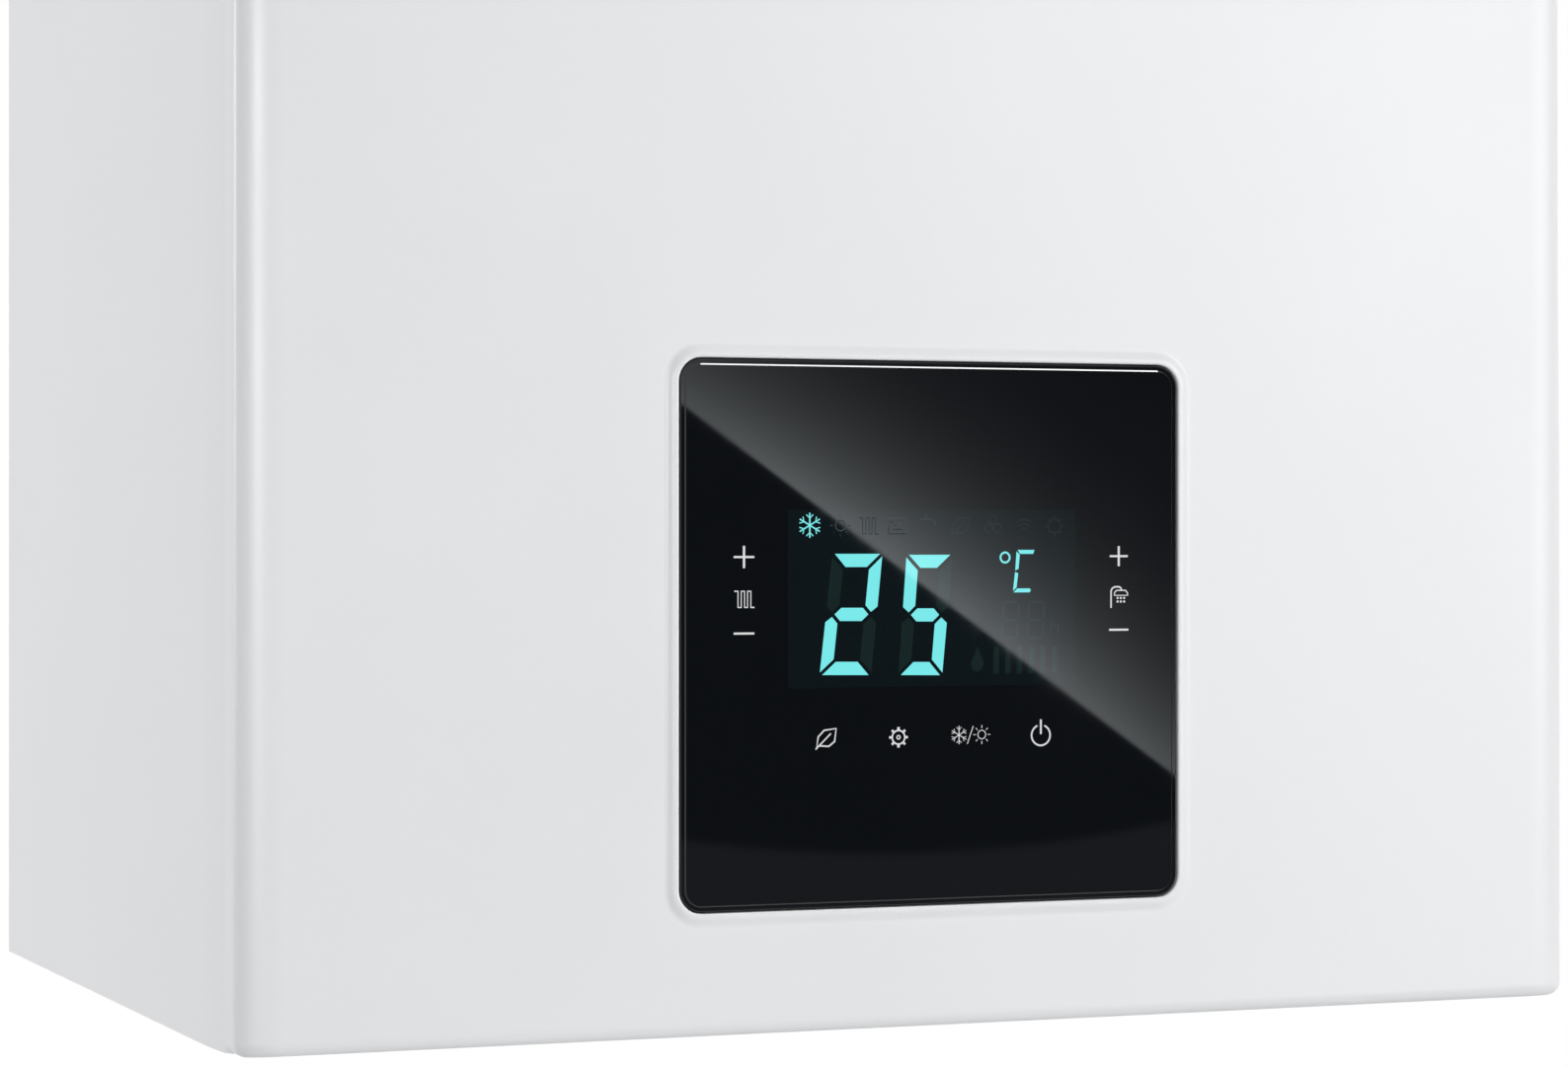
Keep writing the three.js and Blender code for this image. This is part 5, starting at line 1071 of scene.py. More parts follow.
keys += rays(-10.8, -28.5, 2.0, 2.8, 0.75) + star(7.4, -28.2, 2.5, 0.27)
keys.append(line([(9.9, -30.7), (11.7, -25.8)], 0.28))
keys += sun(14.3, -28.2, 1.2, 1.8, 2.6, 0.26)
keys.append(line(circle(32.35, -28.7, 2.85, 28, 112, 316), 0.55))
keys.append(line([(32.35, -24.3), (32.35, -28.4)], 0.55))
key_marks = merge("key_marks", *keys)
dress(key_marks, key_ink, "black_glass", "control_panel")
print("mark triangles:",
      [sum(len(f.vertices) - 2 for f in m.data.polygons) for m in (lit_marks, ghost_marks, key_marks)])

# %% [markdown]
# ## Cover tabs
# The cover's rim is folded inwards at four tabs. The two on top hook over the top panel, and the two
# below are slotted so that they slide over the cover screws.

# %% Cover tabs
tabs = []
TAB_HALF, TAB_CORNER = 12, 4
SLOT_HALF = 2.3
for x in (-SCREW_X, SCREW_X):
    for z in ((59, 60), (-640, -639)):
        tab = box("tab", (x - TAB_HALF, x + TAB_HALF), (-289.5, -270.5), z)
        round_edges(tab, lambda a, b: abs(a.z - b.z) > 0.5 * MM and a.y > -271 * MM, TAB_CORNER, 6)
        if z[0] < 0:
            carve(tab, rod("slot_end", "z", SLOT_HALF, z[0] - 2, z[1] + 2, (x, SCREW_Y)),
                  box("slot", (x - SLOT_HALF, x + SLOT_HALF), (SCREW_Y, -260), (z[0] - 2, z[1] + 2)))
        tabs.append(soften(tab, 0.25))
finish(merge("cover_tabs", *tabs), "white_paint", "front_cover")

# %% [markdown]
# ## Threads and nuts
# Threads are cut on a lathe. Each turn is made as a ring here, which the eye can't tell from a screw
# line at this size. A nut is sawn from hexagon bar and its corners are turned off, so it is what a
# hexagon and a double cone share.


# %% Threads, nuts and copies
def thread(radius, depth, pitch, start, end):
    """Profile points of a thread along a turned shape, from start to end."""
    way = 1 if end > start else -1
    turns = int(abs(end - start) / pitch)
    points = []
    for i in range(turns):
        root = start + way * pitch * i
        points += [(radius - depth, root + way * pitch * 0.05), (radius, root + way * pitch * 0.45),
                   (radius, root + way * pitch * 0.6)]
    return points + [(radius - depth, start + way * pitch * turns)]


def shared(piece, other):
    modify(piece, "BOOLEAN", operation="INTERSECT", solver="EXACT", object=other)
    bpy.data.objects.remove(other)
    return piece


def nut(axis, across, radius, start, end):
    """Radius is measured to the corners."""
    low, high = sorted((start, end))
    chamfer = radius * 0.1
    cone = turned("cone", axis, across, [
        (0, low), (radius * 0.88, low), (radius * 1.03, low + chamfer), (radius * 1.03, high - chamfer),
        (radius * 0.88, high), (0, high)], 48)
    return smooth(shared(rod("nut", axis, radius, low - 1, high + 1, across, 6), cone), 25)


def copies(piece, *offsets):
    """The piece and its copies, each moved by an offset in mm."""
    made = [piece]
    for offset in offsets:
        only(piece)
        bpy.ops.object.duplicate_move(TRANSFORM_OT_translate={"value": Vector(offset) * MM})
        made.append(settle(bpy.context.object))
    return made


def other_corners(width, height):
    """Offsets from the upper left corner of an upright rectangle to its other three."""
    return [(width, 0, 0), (0, 0, -height), (width, 0, -height)]


# %% [markdown]
# ## Water connections
# Each connection is a brass nipple: a threaded end for the pipe's union nut with a flat sealing face,
# a hexagon to hold it by, and a neck that enters its block. The wider ones carry the heating water.

# %% Water connections
THREAD_DEPTH, THREAD_PITCH = 1.1, 1.8
PORT_FACE, THREAD_START, THREAD_END = -658, -657.4, -640.8
HEXAGON = (-637.4, -629.4)
for node, (x, radius) in PORTS.items():
    if node == "gas_inlet_pipe":
        continue
    across, bore, root = (x, PORT_Y), 9 if radius > 12 else 7, radius - THREAD_DEPTH
    outline = [(bore, -657.2), (bore + 0.8, PORT_FACE), (root - 0.6, PORT_FACE), (root, THREAD_START)]
    outline += thread(radius, THREAD_DEPTH, THREAD_PITCH, THREAD_START, THREAD_END)
    outline += [
        (root - 0.3, -640.4), (root - 0.3, -637.0), (radius - 1, -636.6), (radius - 1, -612.6),
        (radius - 1.3, -612.4), (bore, -612.4), (bore, -657.2)]
    nipple = lathe("nipple", "z", across, outline, 64, degrees=28)
    finish(merge(node + "_nipple", nipple, nut("z", across, radius + 4, *HEXAGON)), "brass", node)

# %% [markdown]
# ## Gas inlet
# The gas comes in through a straight brass pipe with the same kind of threaded end, screwed into the
# gas valve with a union nut.

# %% Gas inlet
gas_top = millimetres("gas_inlet_pipe")[1].z
outline = [(9, -657.2), (9.8, PORT_FACE), (11.5, PORT_FACE), (12.1, THREAD_START)]
outline += thread(13.2, THREAD_DEPTH, THREAD_PITCH, THREAD_START, THREAD_END)
outline += [
    (11.8, -640.4), (11.8, -637.0), (12.2, -636.6), (12.2, -628), (11.2, -626), (11.2, gas_top),
    (9, gas_top), (9, -657.2)]
inlet = lathe("inlet", "z", (0, PORT_Y), outline, 64, degrees=28)
finish(merge("gas_inlet_turned", inlet, nut("z", (0, PORT_Y), 17.2, *HEXAGON),
             nut("z", (0, PORT_Y), 15.6, -574, -558.5)), "brass", "gas_inlet_pipe")

# %% [markdown]
# ## Flue collar and duct
# The collar is aluminium: a flange screwed to the top panel over a rubber gasket, and a socket
# with a rolled rim for the outer flue pipe. Two capped test points stand on the flange. The inner duct
# carries the exhaust and has a lip seal near its mouth.

# %% Flue collar and duct
FLUE = (0, FLUE_Y)
FLANGE_SCREW = 44.5
collar = lathe("collar", "z", FLUE, [
    (48.5, 35.3), (50, 35.3), (50, 59.6), (69.2, 59.6), (70, 60.2), (70, 61.2), (69.2, 61.8), (52.6, 61.8),
    (51.2, 62.4), (50.4, 63.8), (50, 66), (50, 86.6), (50.7, 87.2), (51.2, 88.1), (51.2, 88.9),
    (50.7, 89.7), (49.8, 90), (49, 89.6), (48.6, 88.8), (48.5, 35.3)], 128, degrees=30)
flange_screw = screw_head("head", "z", (FLANGE_SCREW, FLUE_Y - FLANGE_SCREW), 61.7, 1, 3.6, 2.2)
flange_screws = copies(flange_screw, (-2 * FLANGE_SCREW, 0, 0), (0, 2 * FLANGE_SCREW, 0),
                       (-2 * FLANGE_SCREW, 2 * FLANGE_SCREW, 0))
finish(merge("flue_collar", collar), "cast_aluminium", "air_intake_collar")
finish(merge("collar_screws", *flange_screws), "zinc", body=BODY_OF["air_intake_collar"])
gasket = lathe("collar_gasket", "z", FLUE, [
    (50.6, 59.02), (70.6, 59.02), (71, 59.4), (70.6, 59.8), (50.6, 59.8), (50.6, 59.02)], 96, degrees=30)
finish(gasket, "seal_rubber", body=BODY_OF["air_intake_collar"])
caps = []
for side in (-1, 1):
    cap = lathe("cap", "z", (side * 60.5, FLUE_Y), [
        (0, 61.6), (6.4, 61.6), (6.4, 63.2), (5.2, 63.4), (5.2, 67.8), (4.6, 68.6), (2.2, 68.8),
        (2.2, 68.2), (0, 68.2)], 48)
    caps.append(cap)
finish(merge("test_point_caps", *caps), "black_plastic", body=BODY_OF["air_intake_collar"])
duct = lathe("flue_duct_spun", "z", FLUE, [
    (28.5, 25.3), (30, 25.3), (30, 72.4), (30.3, 73.2), (31.2, 74), (31.2, 75.4), (30.3, 76.2), (30, 77),
    (30, 89.4), (29.5, 90), (28.8, 89.8), (28.5, 89.2), (28.5, 25.3)], 96)
finish(duct, "cast_aluminium", "flue_duct")
lip = lathe("duct_lip_seal", "z", FLUE, [
    (28.45, 79.5), (28.45, 86), (28, 86.4), (27.4, 85.6), (26.2, 83.6), (26.0, 82.9), (26.6, 82.8),
    (27.6, 83.4), (27.7, 80), (28.45, 79.5)], 96)
finish(lip, "seal_rubber", body=BODY_OF["flue_duct"])

# %% [markdown]
# ## Knobs
# Moulded knobs have a dished face with a raised pointer, and flutes for the fingers. The body is turned,
# flutes are cut with round cutters, and every edge gets the small radius of the mould.


# %% Knobs
def fluted_knob(name, axis, across, base, face, radius, flutes, flute_radius):
    """A knob from its base to its face, with a pointer bar that looks along the next axis."""
    way = 1 if face > base else -1
    height = abs(face - base)
    knob = turned(name, axis, across, [
        (0, base), (radius * 0.96, base), (radius, base + way * 0.8), (radius, face - way * height * 0.14),
        (radius * 0.93, face - way * height * 0.03), (radius * 0.84, face),
        (radius * 0.62, face - way * height * 0.06), (radius * 0.3, face - way * height * 0.09),
        (0, face - way * height * 0.1)], 96)
    low, high = sorted((base - way * 2, face + way * 2))
    cutters = []
    for i in range(flutes):
        angle = math.tau * (i + 0.5) / flutes
        reach = radius + flute_radius * 0.55
        middle = (across[0] + reach * math.cos(angle), across[1] + reach * math.sin(angle))
        cutters.append(rod("flute", axis, flute_radius, low, high, middle, 32))
    carve(knob, *cutters)
    soften(knob, 0.35, 2, 40)
    bar_length, bar_width = radius * 0.34, radius * 0.075
    spans = [(across[0] - bar_width, across[0] + bar_width),
             (across[1] + radius * 0.12, across[1] + radius * 0.12 + bar_length * 1.8)]
    spans.insert(AXIS_INDEX[axis], tuple(sorted((face - way * height * 0.12, face + way * 0.1))))
    return merge(name, knob, soften(box("bar", *spans), 0.3))


safety_low, safety_high = millimetres("safety_valve_knob")
knob = fluted_knob("safety_knob", "y", (140, -588.1), safety_high.y, safety_low.y, 16, 8, 4.2)
finish(knob, "red_plastic", "safety_valve_knob")
filling_low, filling_high = millimetres("filling_valve_knob")
knob = fluted_knob("knob", "z", (FILLING_X, PORT_Y), -639.6, filling_low.z, 12, 6, 4.0)
stem = lathe("stem", "z", (FILLING_X, PORT_Y), [
    (0, filling_high.z), (3.6, filling_high.z), (4, filling_high.z - 0.4), (4, -640), (0, -640)],
    32, degrees=38)
finish(merge("filling_knob", knob, stem), "blue_plastic", "filling_valve_knob")
vent_low, vent_high = millimetres("air_vent_cap")
knob = fluted_knob("vent_knob", "z", (82, PORT_Y), vent_low.z, vent_high.z, 9, 8, 2.4)
finish(knob, "black_plastic", "air_vent_cap")

# %% [markdown]
# ## Pressure gauge
# The gauge looks down through the tray, so its upright is turned to a reader who stands in front. The
# body is a black cup with a rounded bezel, the dial is a white printed disc with plain numbers from 0
# to 4, and a red line stands where the safety valve opens. The pointer is a red strip under a lens.

# %% Gauge body, dial and lens
GAUGE = (-97.5, -200.0)
DIAL_Z = -634.0
cup = lathe("cup", "z", GAUGE, [
    (0, -614), (19, -614), (20, -615), (20, -638.8), (22.1, -639), (22.5, -639.5), (22.5, -640.5),
    (22.1, -641.1), (21.2, -641.3), (19.8, -641.0), (18.7, -640.2), (18.5, -639.6), (18.5, DIAL_Z),
    (0, DIAL_Z)], 96)
pin = lathe("pin", "z", GAUGE, [(0, DIAL_Z + 0.1), (1, DIAL_Z + 0.1), (1, -636.8), (0.7, -637), (0, -637)],
            24, degrees=38)
finish(merge("gauge_cup", cup, pin, nut("z", GAUGE, 7, -614.3, -608)), "black_plastic",
       "pressure_gauge")
dial = lathe("gauge_dial", "z", GAUGE, [
    (1.3, -634.4), (18.2, -634.4), (18.4, -634.3), (18.4, -634.05), (1.3, -634.05), (1.3, -634.4)], 96)
finish(dial, "white_plastic", body="casing")
lens = lathe("gauge_lens_disc", "z", GAUGE,
             [(0, -640.05), (18.2, -640.05), (18.2, -640.7), (17.8, -641), (0, -641)], 96)
finish(lens, "clear_glass", "gauge_lens")

# %% [markdown]
# ## Print on the dial
# Numbers and marks are a few hundredths of a millimetre thick. A reading v stands clockwise from the
# top, 67.5 degrees for each unit, with 2 at the top.

# %% Print on the dial
PRINT_TOP, PRINT_FACE = -634.4, -634.46
UNIT_ANGLE = 67.5
TOP_READING = 2
DIAL_END = 4
MARKS_IN_UNIT = 10


def dial_angle(reading):
    return math.radians(UNIT_ANGLE * (reading - TOP_READING))


def dial_mark(reading, inner, outer, width):
    angle = dial_angle(reading)
    reach = (inner + outer) / 2
    object_mode()
    bpy.ops.mesh.primitive_cube_add(size=1, rotation=(0, 0, angle), location=Vector(
        (GAUGE[0] + reach * math.sin(angle), GAUGE[1] - reach * math.cos(angle),
         (PRINT_TOP + PRINT_FACE) / 2)) * MM,
        scale=(width * MM, (outer - inner) * MM, (PRINT_TOP - PRINT_FACE) * MM))
    return new_piece("mark")


def printed(text, size, x, y, z, rotation):
    """A number printed on a face, as a thin mesh."""
    object_mode()
    bpy.ops.object.text_add()
    words = bpy.context.object
    words.data.body = text
    words.data.size = size * MM
    words.data.align_x, words.data.align_y = "CENTER", "CENTER"
    words.data.extrude = 0.03 * MM
    bpy.ops.object.convert(target="MESH")
    words = bpy.context.object
    words.rotation_euler = rotation
    words.location = Vector((x, y, z)) * MM
    return settle(words)


ink = []
for step in range(DIAL_END * MARKS_IN_UNIT + 1):
    whole, half = step % MARKS_IN_UNIT == 0, step % (MARKS_IN_UNIT // 2) == 0
    ink.append(dial_mark(step / MARKS_IN_UNIT, 13.0 if whole else 14.3 if half else 15.4, 16.8,
                         0.5 if whole else 0.3))
for number in range(DIAL_END + 1):
    angle = dial_angle(number)
    ink.append(printed(str(number), 4.6, GAUGE[0] + 10.2 * math.sin(angle), GAUGE[1] - 10.2 * math.cos(angle),
                       PRINT_TOP - 0.03, (math.pi, 0, 0)))
finish(merge("gauge_print", *ink), "black_plastic", body="casing")
finish(merge("gauge_red_line", dial_mark(3, 12.6, 17.6, 0.9)), "red_plastic", body="casing")
pointer = soften(copy_of("gauge_pointer", "gauge_pointer_strip"), 0.12)
finish(pointer, "red_plastic", "gauge_pointer")

# %% [markdown]
# ## Chamber lid and sight glass
# The lid is a pressed sheet with a raised field, three ribs across it and screws all round its flange.
# The sight glass is a thick disc held by a stainless ring, so that the flame can be seen.

# %% Chamber lid
LID_FACE = -280.0
SIGHT = (60.0, -318.7)
lid_low, lid_high = millimetres("sealed_chamber_lid")


def upright_corners(a, b):
    return abs(a.y - b.y) > 0.4 * MM


def pressed(name, x, z, back, front, corner, edge):
    """A raised field of a sheet: rounded corners, and a soft edge towards the front."""
    field = box(name, x, (front, back), z)
    round_edges(field, upright_corners, corner, 8)
    round_edges(field, lambda a, b: max(a.y, b.y) < (front + 0.05) * MM, edge, 4)
    return smooth(field, 50)


plate = pressed("plate", (lid_low.x, lid_high.x), (lid_low.z, lid_high.z), -279, LID_FACE, 6, 0.3)
field = pressed("field", (-155, 155), (-376, 5), -279.2, -281, 14, 0.95)
lid_parts = [carve(part, rod("sight", "y", 15, -284, -276, SIGHT, 64)) for part in (plate, field)]
for z in (-100, -170, -240):
    lid_parts.append(pressed("rib", (-120, 120), (z - 9, z + 9), -280.6, -283, 8.8, 1.9))
finish(merge("chamber_lid_pressed", *lid_parts), "aluminised_steel", "sealed_chamber_lid")
LID_SIDE, LID_TOP, LID_FOOT = 189.0, 39.0, -410.0
LID_STEP = 63
screw = screw_head("head", "y", (-LID_SIDE, LID_TOP), LID_FACE, -1, 3.5, 2.2)
offsets = [(LID_STEP * i, 0, 0) for i in range(1, 7)]
offsets += [(LID_STEP * i, 0, LID_FOOT - LID_TOP) for i in range(7)]
offsets += [(x, 0, z) for x in (0, 2 * LID_SIDE) for z in (-112.2, -224.5, -336.8)]
finish(merge("lid_screws", *copies(screw, *offsets)), "zinc", body="casing")

# %% Sight glass
disc = lathe("sight_glass_disc", "y", SIGHT,
             [(0, -279.2), (14.7, -279.2), (14.7, -282.4), (14.2, -282.9), (0, -282.9)], 64)
finish(disc, "clear_glass", "sight_glass")
sight_ring = lathe("sight_ring", "y", SIGHT, [
    (13.8, -283), (15, -281.1), (20, -281.1), (20, -282.6), (19.3, -283.3), (14.4, -283.3),
    (13.8, -283)], 64)
finish(sight_ring, "stainless", body="casing")

# %% [markdown]
# ## Fan
# The scroll is folded from sheet, and the motor hangs in front of it: a die-cast bell with cooling ribs
# and a round cap. The impeller keeps its engineering form, with soft edges.

# %% Fan motor
FAN = (-36.0, -50.0)
MOTOR_SCREW = 21.8
bell = [(0, -201.3), (34, -201.3), (34, -203.8), (33.4, -204.4), (28.6, -205)]
for i in range(5):
    start = -210 - 5.6 * i
    bell += [(28.6, start), (28, start - 0.6), (28, start - 2.4), (28.6, start - 3)]
bell += [
    (28.6, -239), (27.8, -242.6), (25.6, -244.8), (23, -245.3), (12.6, -245.3), (12, -246), (12, -248.5),
    (11.2, -249.3), (0, -249.3)]
motor_parts = [lathe("bell", "y", FAN, bell, 72)]
motor_screw = screw_head("head", "y", (FAN[0] - MOTOR_SCREW, FAN[1] + MOTOR_SCREW), -204.2, -1, 3.2, 2)
motor_parts += copies(motor_screw, *other_corners(2 * MOTOR_SCREW, 2 * MOTOR_SCREW))
finish(merge("fan_motor_bell", *motor_parts), "cast_aluminium", "fan_motor")

# %% [markdown]
# ## Air pressure switch
# Two moulded shells are clipped together over the diaphragm, so the body is a flat drum with a wide
# rim. Two nipples take the hoses.

# %% Air pressure switch
SWITCH = (125.0, -20.0)
drum = lathe("drum", "y", SWITCH, [
    (0, -97.3), (25, -97.3), (27, -98.8), (27, -103.6), (27.8, -104.4), (29.4, -104.6), (30, -105.3),
    (30, -107.3), (29.4, -108), (27.8, -108.2), (27, -109), (27, -112.6), (25.6, -114.6), (23, -115.3),
    (9, -115.3), (8, -116), (8, -117.4), (0, -117.6)], 72)
nipple = lathe("nipple", "y", (SWITCH[0] - 12, SWITCH[1]), [
    (0, -115), (3, -115), (3, -118.4), (3.5, -118.8), (2.6, -121), (3.5, -121.6), (2.4, -124.8),
    (1.4, -125.3), (0, -125.3)], 32)
finish(merge("pressure_switch_shells", drum, *copies(nipple, (24, 0, 0))), "white_plastic",
       "air_pressure_switch")

# %% [markdown]
# ## Combustion chamber, exchanger and hood
# Three folded boxes stand on each other. The lowest and the uppermost have a flange along their joint
# with the exchanger, and a row of screws runs below the lower flange. A raised field keeps each sheet
# from drumming. The exchanger's wrapper is copper with two beads rolled along it.

# %% Combustion chamber, exchanger and hood
STACK_FRONT = -268.0


def stacked(node, name, slot, fields, flanges, screws_at):
    """A copy with raised fields (x, z, face, corner, edge), flanges (z) and a row of screws along z."""
    parts = [soften(copy_of(node, name), 0.5, 3)]
    for x, z, face, corner, edge in fields:
        parts.append(pressed("field", x, z, face + 2, face, corner, edge))
    for low, high in flanges:
        parts.append(soften(box("flange", (-132.5, 132.5), (STACK_FRONT - 3, STACK_FRONT + 1), (low, high)),
                            0.5, 3))
    finish(merge(name, *parts), slot, node)
    if screws_at is not None:
        head = screw_head("head", "y", (-104, screws_at), STACK_FRONT, -1, 3, 1.9)
        finish(merge(name + "_screws", *copies(head, *[(52 * i, 0, 0) for i in range(1, 5)])), "zinc",
               body="casing")


stacked("combustion_chamber", "combustion_chamber_folded", "aluminised_steel",
        [((-112, 112), (-326, -240), STACK_FRONT - 1.4, 12, 1.3)], [(-219.4, -217.6)], -226)
stacked("heat_exchanger", "heat_exchanger_brazed", "copper",
        [((-116, 116), (z - 3, z + 3), -265, 2.9, 1.8) for z in (-200, -170)], [], None)
stacked("flue_hood", "flue_hood_folded", "aluminised_steel",
        [((-112, 112), (-143, -122), STACK_FRONT - 1.2, 8, 1.1)], [(-152.4, -150.6)], None)

# %% [markdown]
# ## Expansion vessel and brass blocks
# The vessel is two pressed halves, rolled together in a seam that stands out round its middle. The
# brass blocks are pressings, and the bore that was drilled from the front ends in a hexagon plug.

# %% Vessel and blocks
SEAM_CORNER = 31.0
seam = box("seam", (-151.6, 151.6), (-53.4, -47.4), (-362.1, -8.9))
round_edges(seam, upright_corners, SEAM_CORNER, 14)
vessel = soften(copy_of("expansion_vessel", "expansion_vessel_halves"), 1.2, 3)
finish(merge("expansion_vessel_halves", vessel, soften(seam, 1.4, 3)), "red_paint", "expansion_vessel")
for node, plug_x in (("flow_block", -104), ("return_block", 70)):
    block = soften(copy_of(node, node + "_pressing"), 1.8, 3)
    plug = nut("y", (plug_x, -587.1), 8, -132.6, -127.6)
    finish(merge(node + "_pressing", block, plug), "brass", node)

# %% [markdown]
# ## Pump
# A wet-rotor pump: a cast volute with its inlet boss below, an outlet and an air vent tower above, and
# in front of it a painted motor can with cooling grooves, held by four screws. The terminal box sits on
# the can's left.

# %% Pump housing
PUMP = (112.0, -514.1)
LUG = 33.4
OTHER_LUGS = other_corners(2 * LUG, 2 * LUG)
volute = lathe("volute", "y", PUMP, [
    (0, -106), (34, -106), (34, -130), (44, -130), (45, -129), (45, -97), (43.6, -93.8), (40.4, -92),
    (0, -92)], 96)
volute_parts = [volute]
pump_foot = millimetres("pump_housing")[0].z
for x, radius, start, end in ((112, 15, -548, pump_foot), (150, 13, -500, -456.1), (82, 15, -500, -450.1)):
    way = 1 if end > start else -1
    stub = lathe("stub", "z", (x, PORT_Y), [
        (0, start), (radius, start), (radius, end - way * 9), (radius + 1.6, end - way * 8),
        (radius + 1.6, end - way * 1.2), (radius + 0.6, end), (0, end)], 64)
    volute_parts.append(stub)
nipple = lathe("nipple", "z", (82, PORT_Y), [(0, -451), (7, -451), (7, -441), (6.3, -440.1), (0, -440.1)], 48)
volute_parts.append(nipple)
lug = lathe("lug", "y", (PUMP[0] - LUG, PUMP[1] + LUG),
            [(0, -130), (6.4, -130), (6.4, -116), (5.4, -114), (0, -113.5)], 40)
volute_parts += copies(lug, *OTHER_LUGS)
finish(merge("pump_volute", *volute_parts), "cast_aluminium", "pump_housing")

# %% Pump motor
can = [(0, -130.3), (45, -130.3), (45, -135.5), (44.2, -136.3), (41.4, -136.3), (40, -138)]
for i in range(9):
    start = -150 - 8 * i
    can += [(40, start), (38.8, start - 1), (38.8, start - 3), (40, start - 4)]
can += [(40, -228), (38.8, -231.6), (36, -233.6), (33, -234), (13, -234), (12.4, -234.4), (11.8, -235),
        (0, -235)]
can_parts = [lathe("can", "y", PUMP, can, 96)]
for x in (-LUG, LUG):
    for z in (-LUG, LUG):
        lug = lathe("lug", "y", (PUMP[0] + x, PUMP[1] + z), [
            (0, -130.3), (6.4, -130.3), (6.4, -136), (5.8, -136.6), (0, -136.6)], 40)
        can_parts.append(lug)
finish(merge("pump_motor_can", *can_parts), "pump_paint", "pump_motor")
bolt = screw_head("head", "y", (PUMP[0] - LUG, PUMP[1] + LUG), -136.5, -1, 4, 3)
finish(merge("pump_bolts", *copies(bolt, *OTHER_LUGS)), "zinc", body="casing")
vent_plug = screw_head("pump_vent_screw", "y", PUMP, -234.7, -1, 9, 1.6)
finish(vent_plug, "zinc", body="casing")
shell = soften(box("shell", (52, 92), (-224, -144.3), (-538.1, -490.1)), 2.5, 4)
cover = soften(box("cover", (52.8, 91.2), (-227, -223.4), (-537.3, -490.9)), 1.2, 3)
gland = lathe("gland", "z", (64, -172), [
    (0, -537.6), (7, -537.6), (7, -541), (5.6, -542), (5.6, -547), (4.6, -548.4), (3, -548.4), (3, -546),
    (0, -546)], 40)
finish(merge("pump_terminal_box", shell, cover, gland, nut("z", (64, -172), 8.4, -545.4, -539.8)),
       "black_plastic", body="casing")

# %% [markdown]
# ## Diverter motor, gas valve and safety valve
# The diverter motor is a clipped-on plastic can with a plug at its side. The gas valve is a die casting
# with a coil in front and two pressure taps. The safety valve is turned brass with a hexagon.

# %% Diverter motor
DIVERTER = (-130.0, -105.0)
can = lathe("can", "z", DIVERTER, [
    (7, -527.6), (7.4, -527.6), (7.4, -519.8), (20, -519.8), (20, -514.6), (19.4, -513.8), (18, -513.4),
    (18, -497), (17.5, -496.4), (17.5, -495.2), (18, -494.6), (18, -470.8), (16.6, -468.4), (14, -467.8),
    (7, -467.8), (7, -527.6)], 72)
cap = lathe("cap", "z", DIVERTER, [(0, -500), (9, -500), (9, -467.4), (0, -467.4)], 48)
plug = soften(box("plug", (-162, -146), (-113, -97), (-493.8, -468.8)), 1.6, 3)
latch = soften(box("latch", (-158, -150), (-115.4, -112), (-486, -474)), 0.6)
finish(merge("diverter_motor_can", can, cap, plug, latch), "white_plastic", "diverter_motor")

# %% Gas valve
body = soften(copy_of("gas_valve", "gas_valve_casting"), 1.6, 3)
finish(body, "cast_aluminium", "gas_valve")
COIL = (0.0, -501.4)
coil = lathe("coil_sleeve", "y", COIL, [
    (13, -156), (17.6, -156), (18.2, -157), (18.2, -182), (17.2, -183.6), (13, -183.6), (13, -156)], 64)
plug = soften(box("plug", (-7, 7), (-178, -162), (-484.4, -476.5)), 1.0, 3)
finish(merge("gas_coil_sleeve", coil, plug), "black_plastic", body="casing")
gas_screw = screw_head("head", "y", (-26.5, -486), -150.8, -1, 3, 1.8)
tap_screw = screw_head("head", "y", (-16, -536.1), -158.8, -1, 2.6, 1.2)
finish(merge("gas_valve_screws", *copies(gas_screw, *other_corners(53, 64)), *copies(tap_screw, (32, 0, 0))),
       "brass", body="casing")

# %% Safety valve
SAFETY = (140.0, -588.1)
barrel = lathe("barrel", "y", SAFETY, [
    (0, -128.3), (11, -128.3), (11, -137), (10.4, -138), (10.4, -150), (11, -151), (11, -158.4),
    (10.2, -160.3), (0, -160.3)], 64)
spout = lathe("spout", "z", (SAFETY[0], -144.3), [
    (0, -588.1), (6, -588.1), (6, -601), (5.6, -601.4), (6.6, -603), (5.6, -606.4), (6.4, -607.6),
    (5.2, -610.1), (3.6, -610.1), (3.6, -604), (0, -604)], 48)
finish(merge("safety_valve_turned", barrel, spout, nut("y", SAFETY, 14, -137.3, -129.3)), "brass",
       "safety_valve")

# %% [markdown]
# ## Control box
# A moulded black box with rounded edges. Its back cover has vent slots and four screws. The board inside
# carries relays, a transformer and capacitors, each in its own material.

# %% Control box
shell = soften(copy_of("control_box", "control_box_shell"), 1.6, 3)
grommets = []
for x in (-110, -80, 80, 110):
    grommet = lathe("grommet", "z", (x, -262), [
        (0, -449.6), (7, -449.6), (7, -448.4), (6.2, -447.6), (4, -447.6), (3.4, -449), (0, -449)], 40)
    grommets.append(grommet)
finish(merge("control_box_shell", shell, *grommets), "black_plastic", "control_box")
cover = soften(copy_of("control_box_rear_cover", "control_box_back"), 1.0, 3)
finish(cover, "grey_plastic", "control_box_rear_cover")
screw = screw_head("head", "y", (-141, -459), -243.2, 1, 3.4, 1.6)
finish(merge("back_cover_screws", *copies(screw, *other_corners(282, 157))), "zinc", body="control_panel")

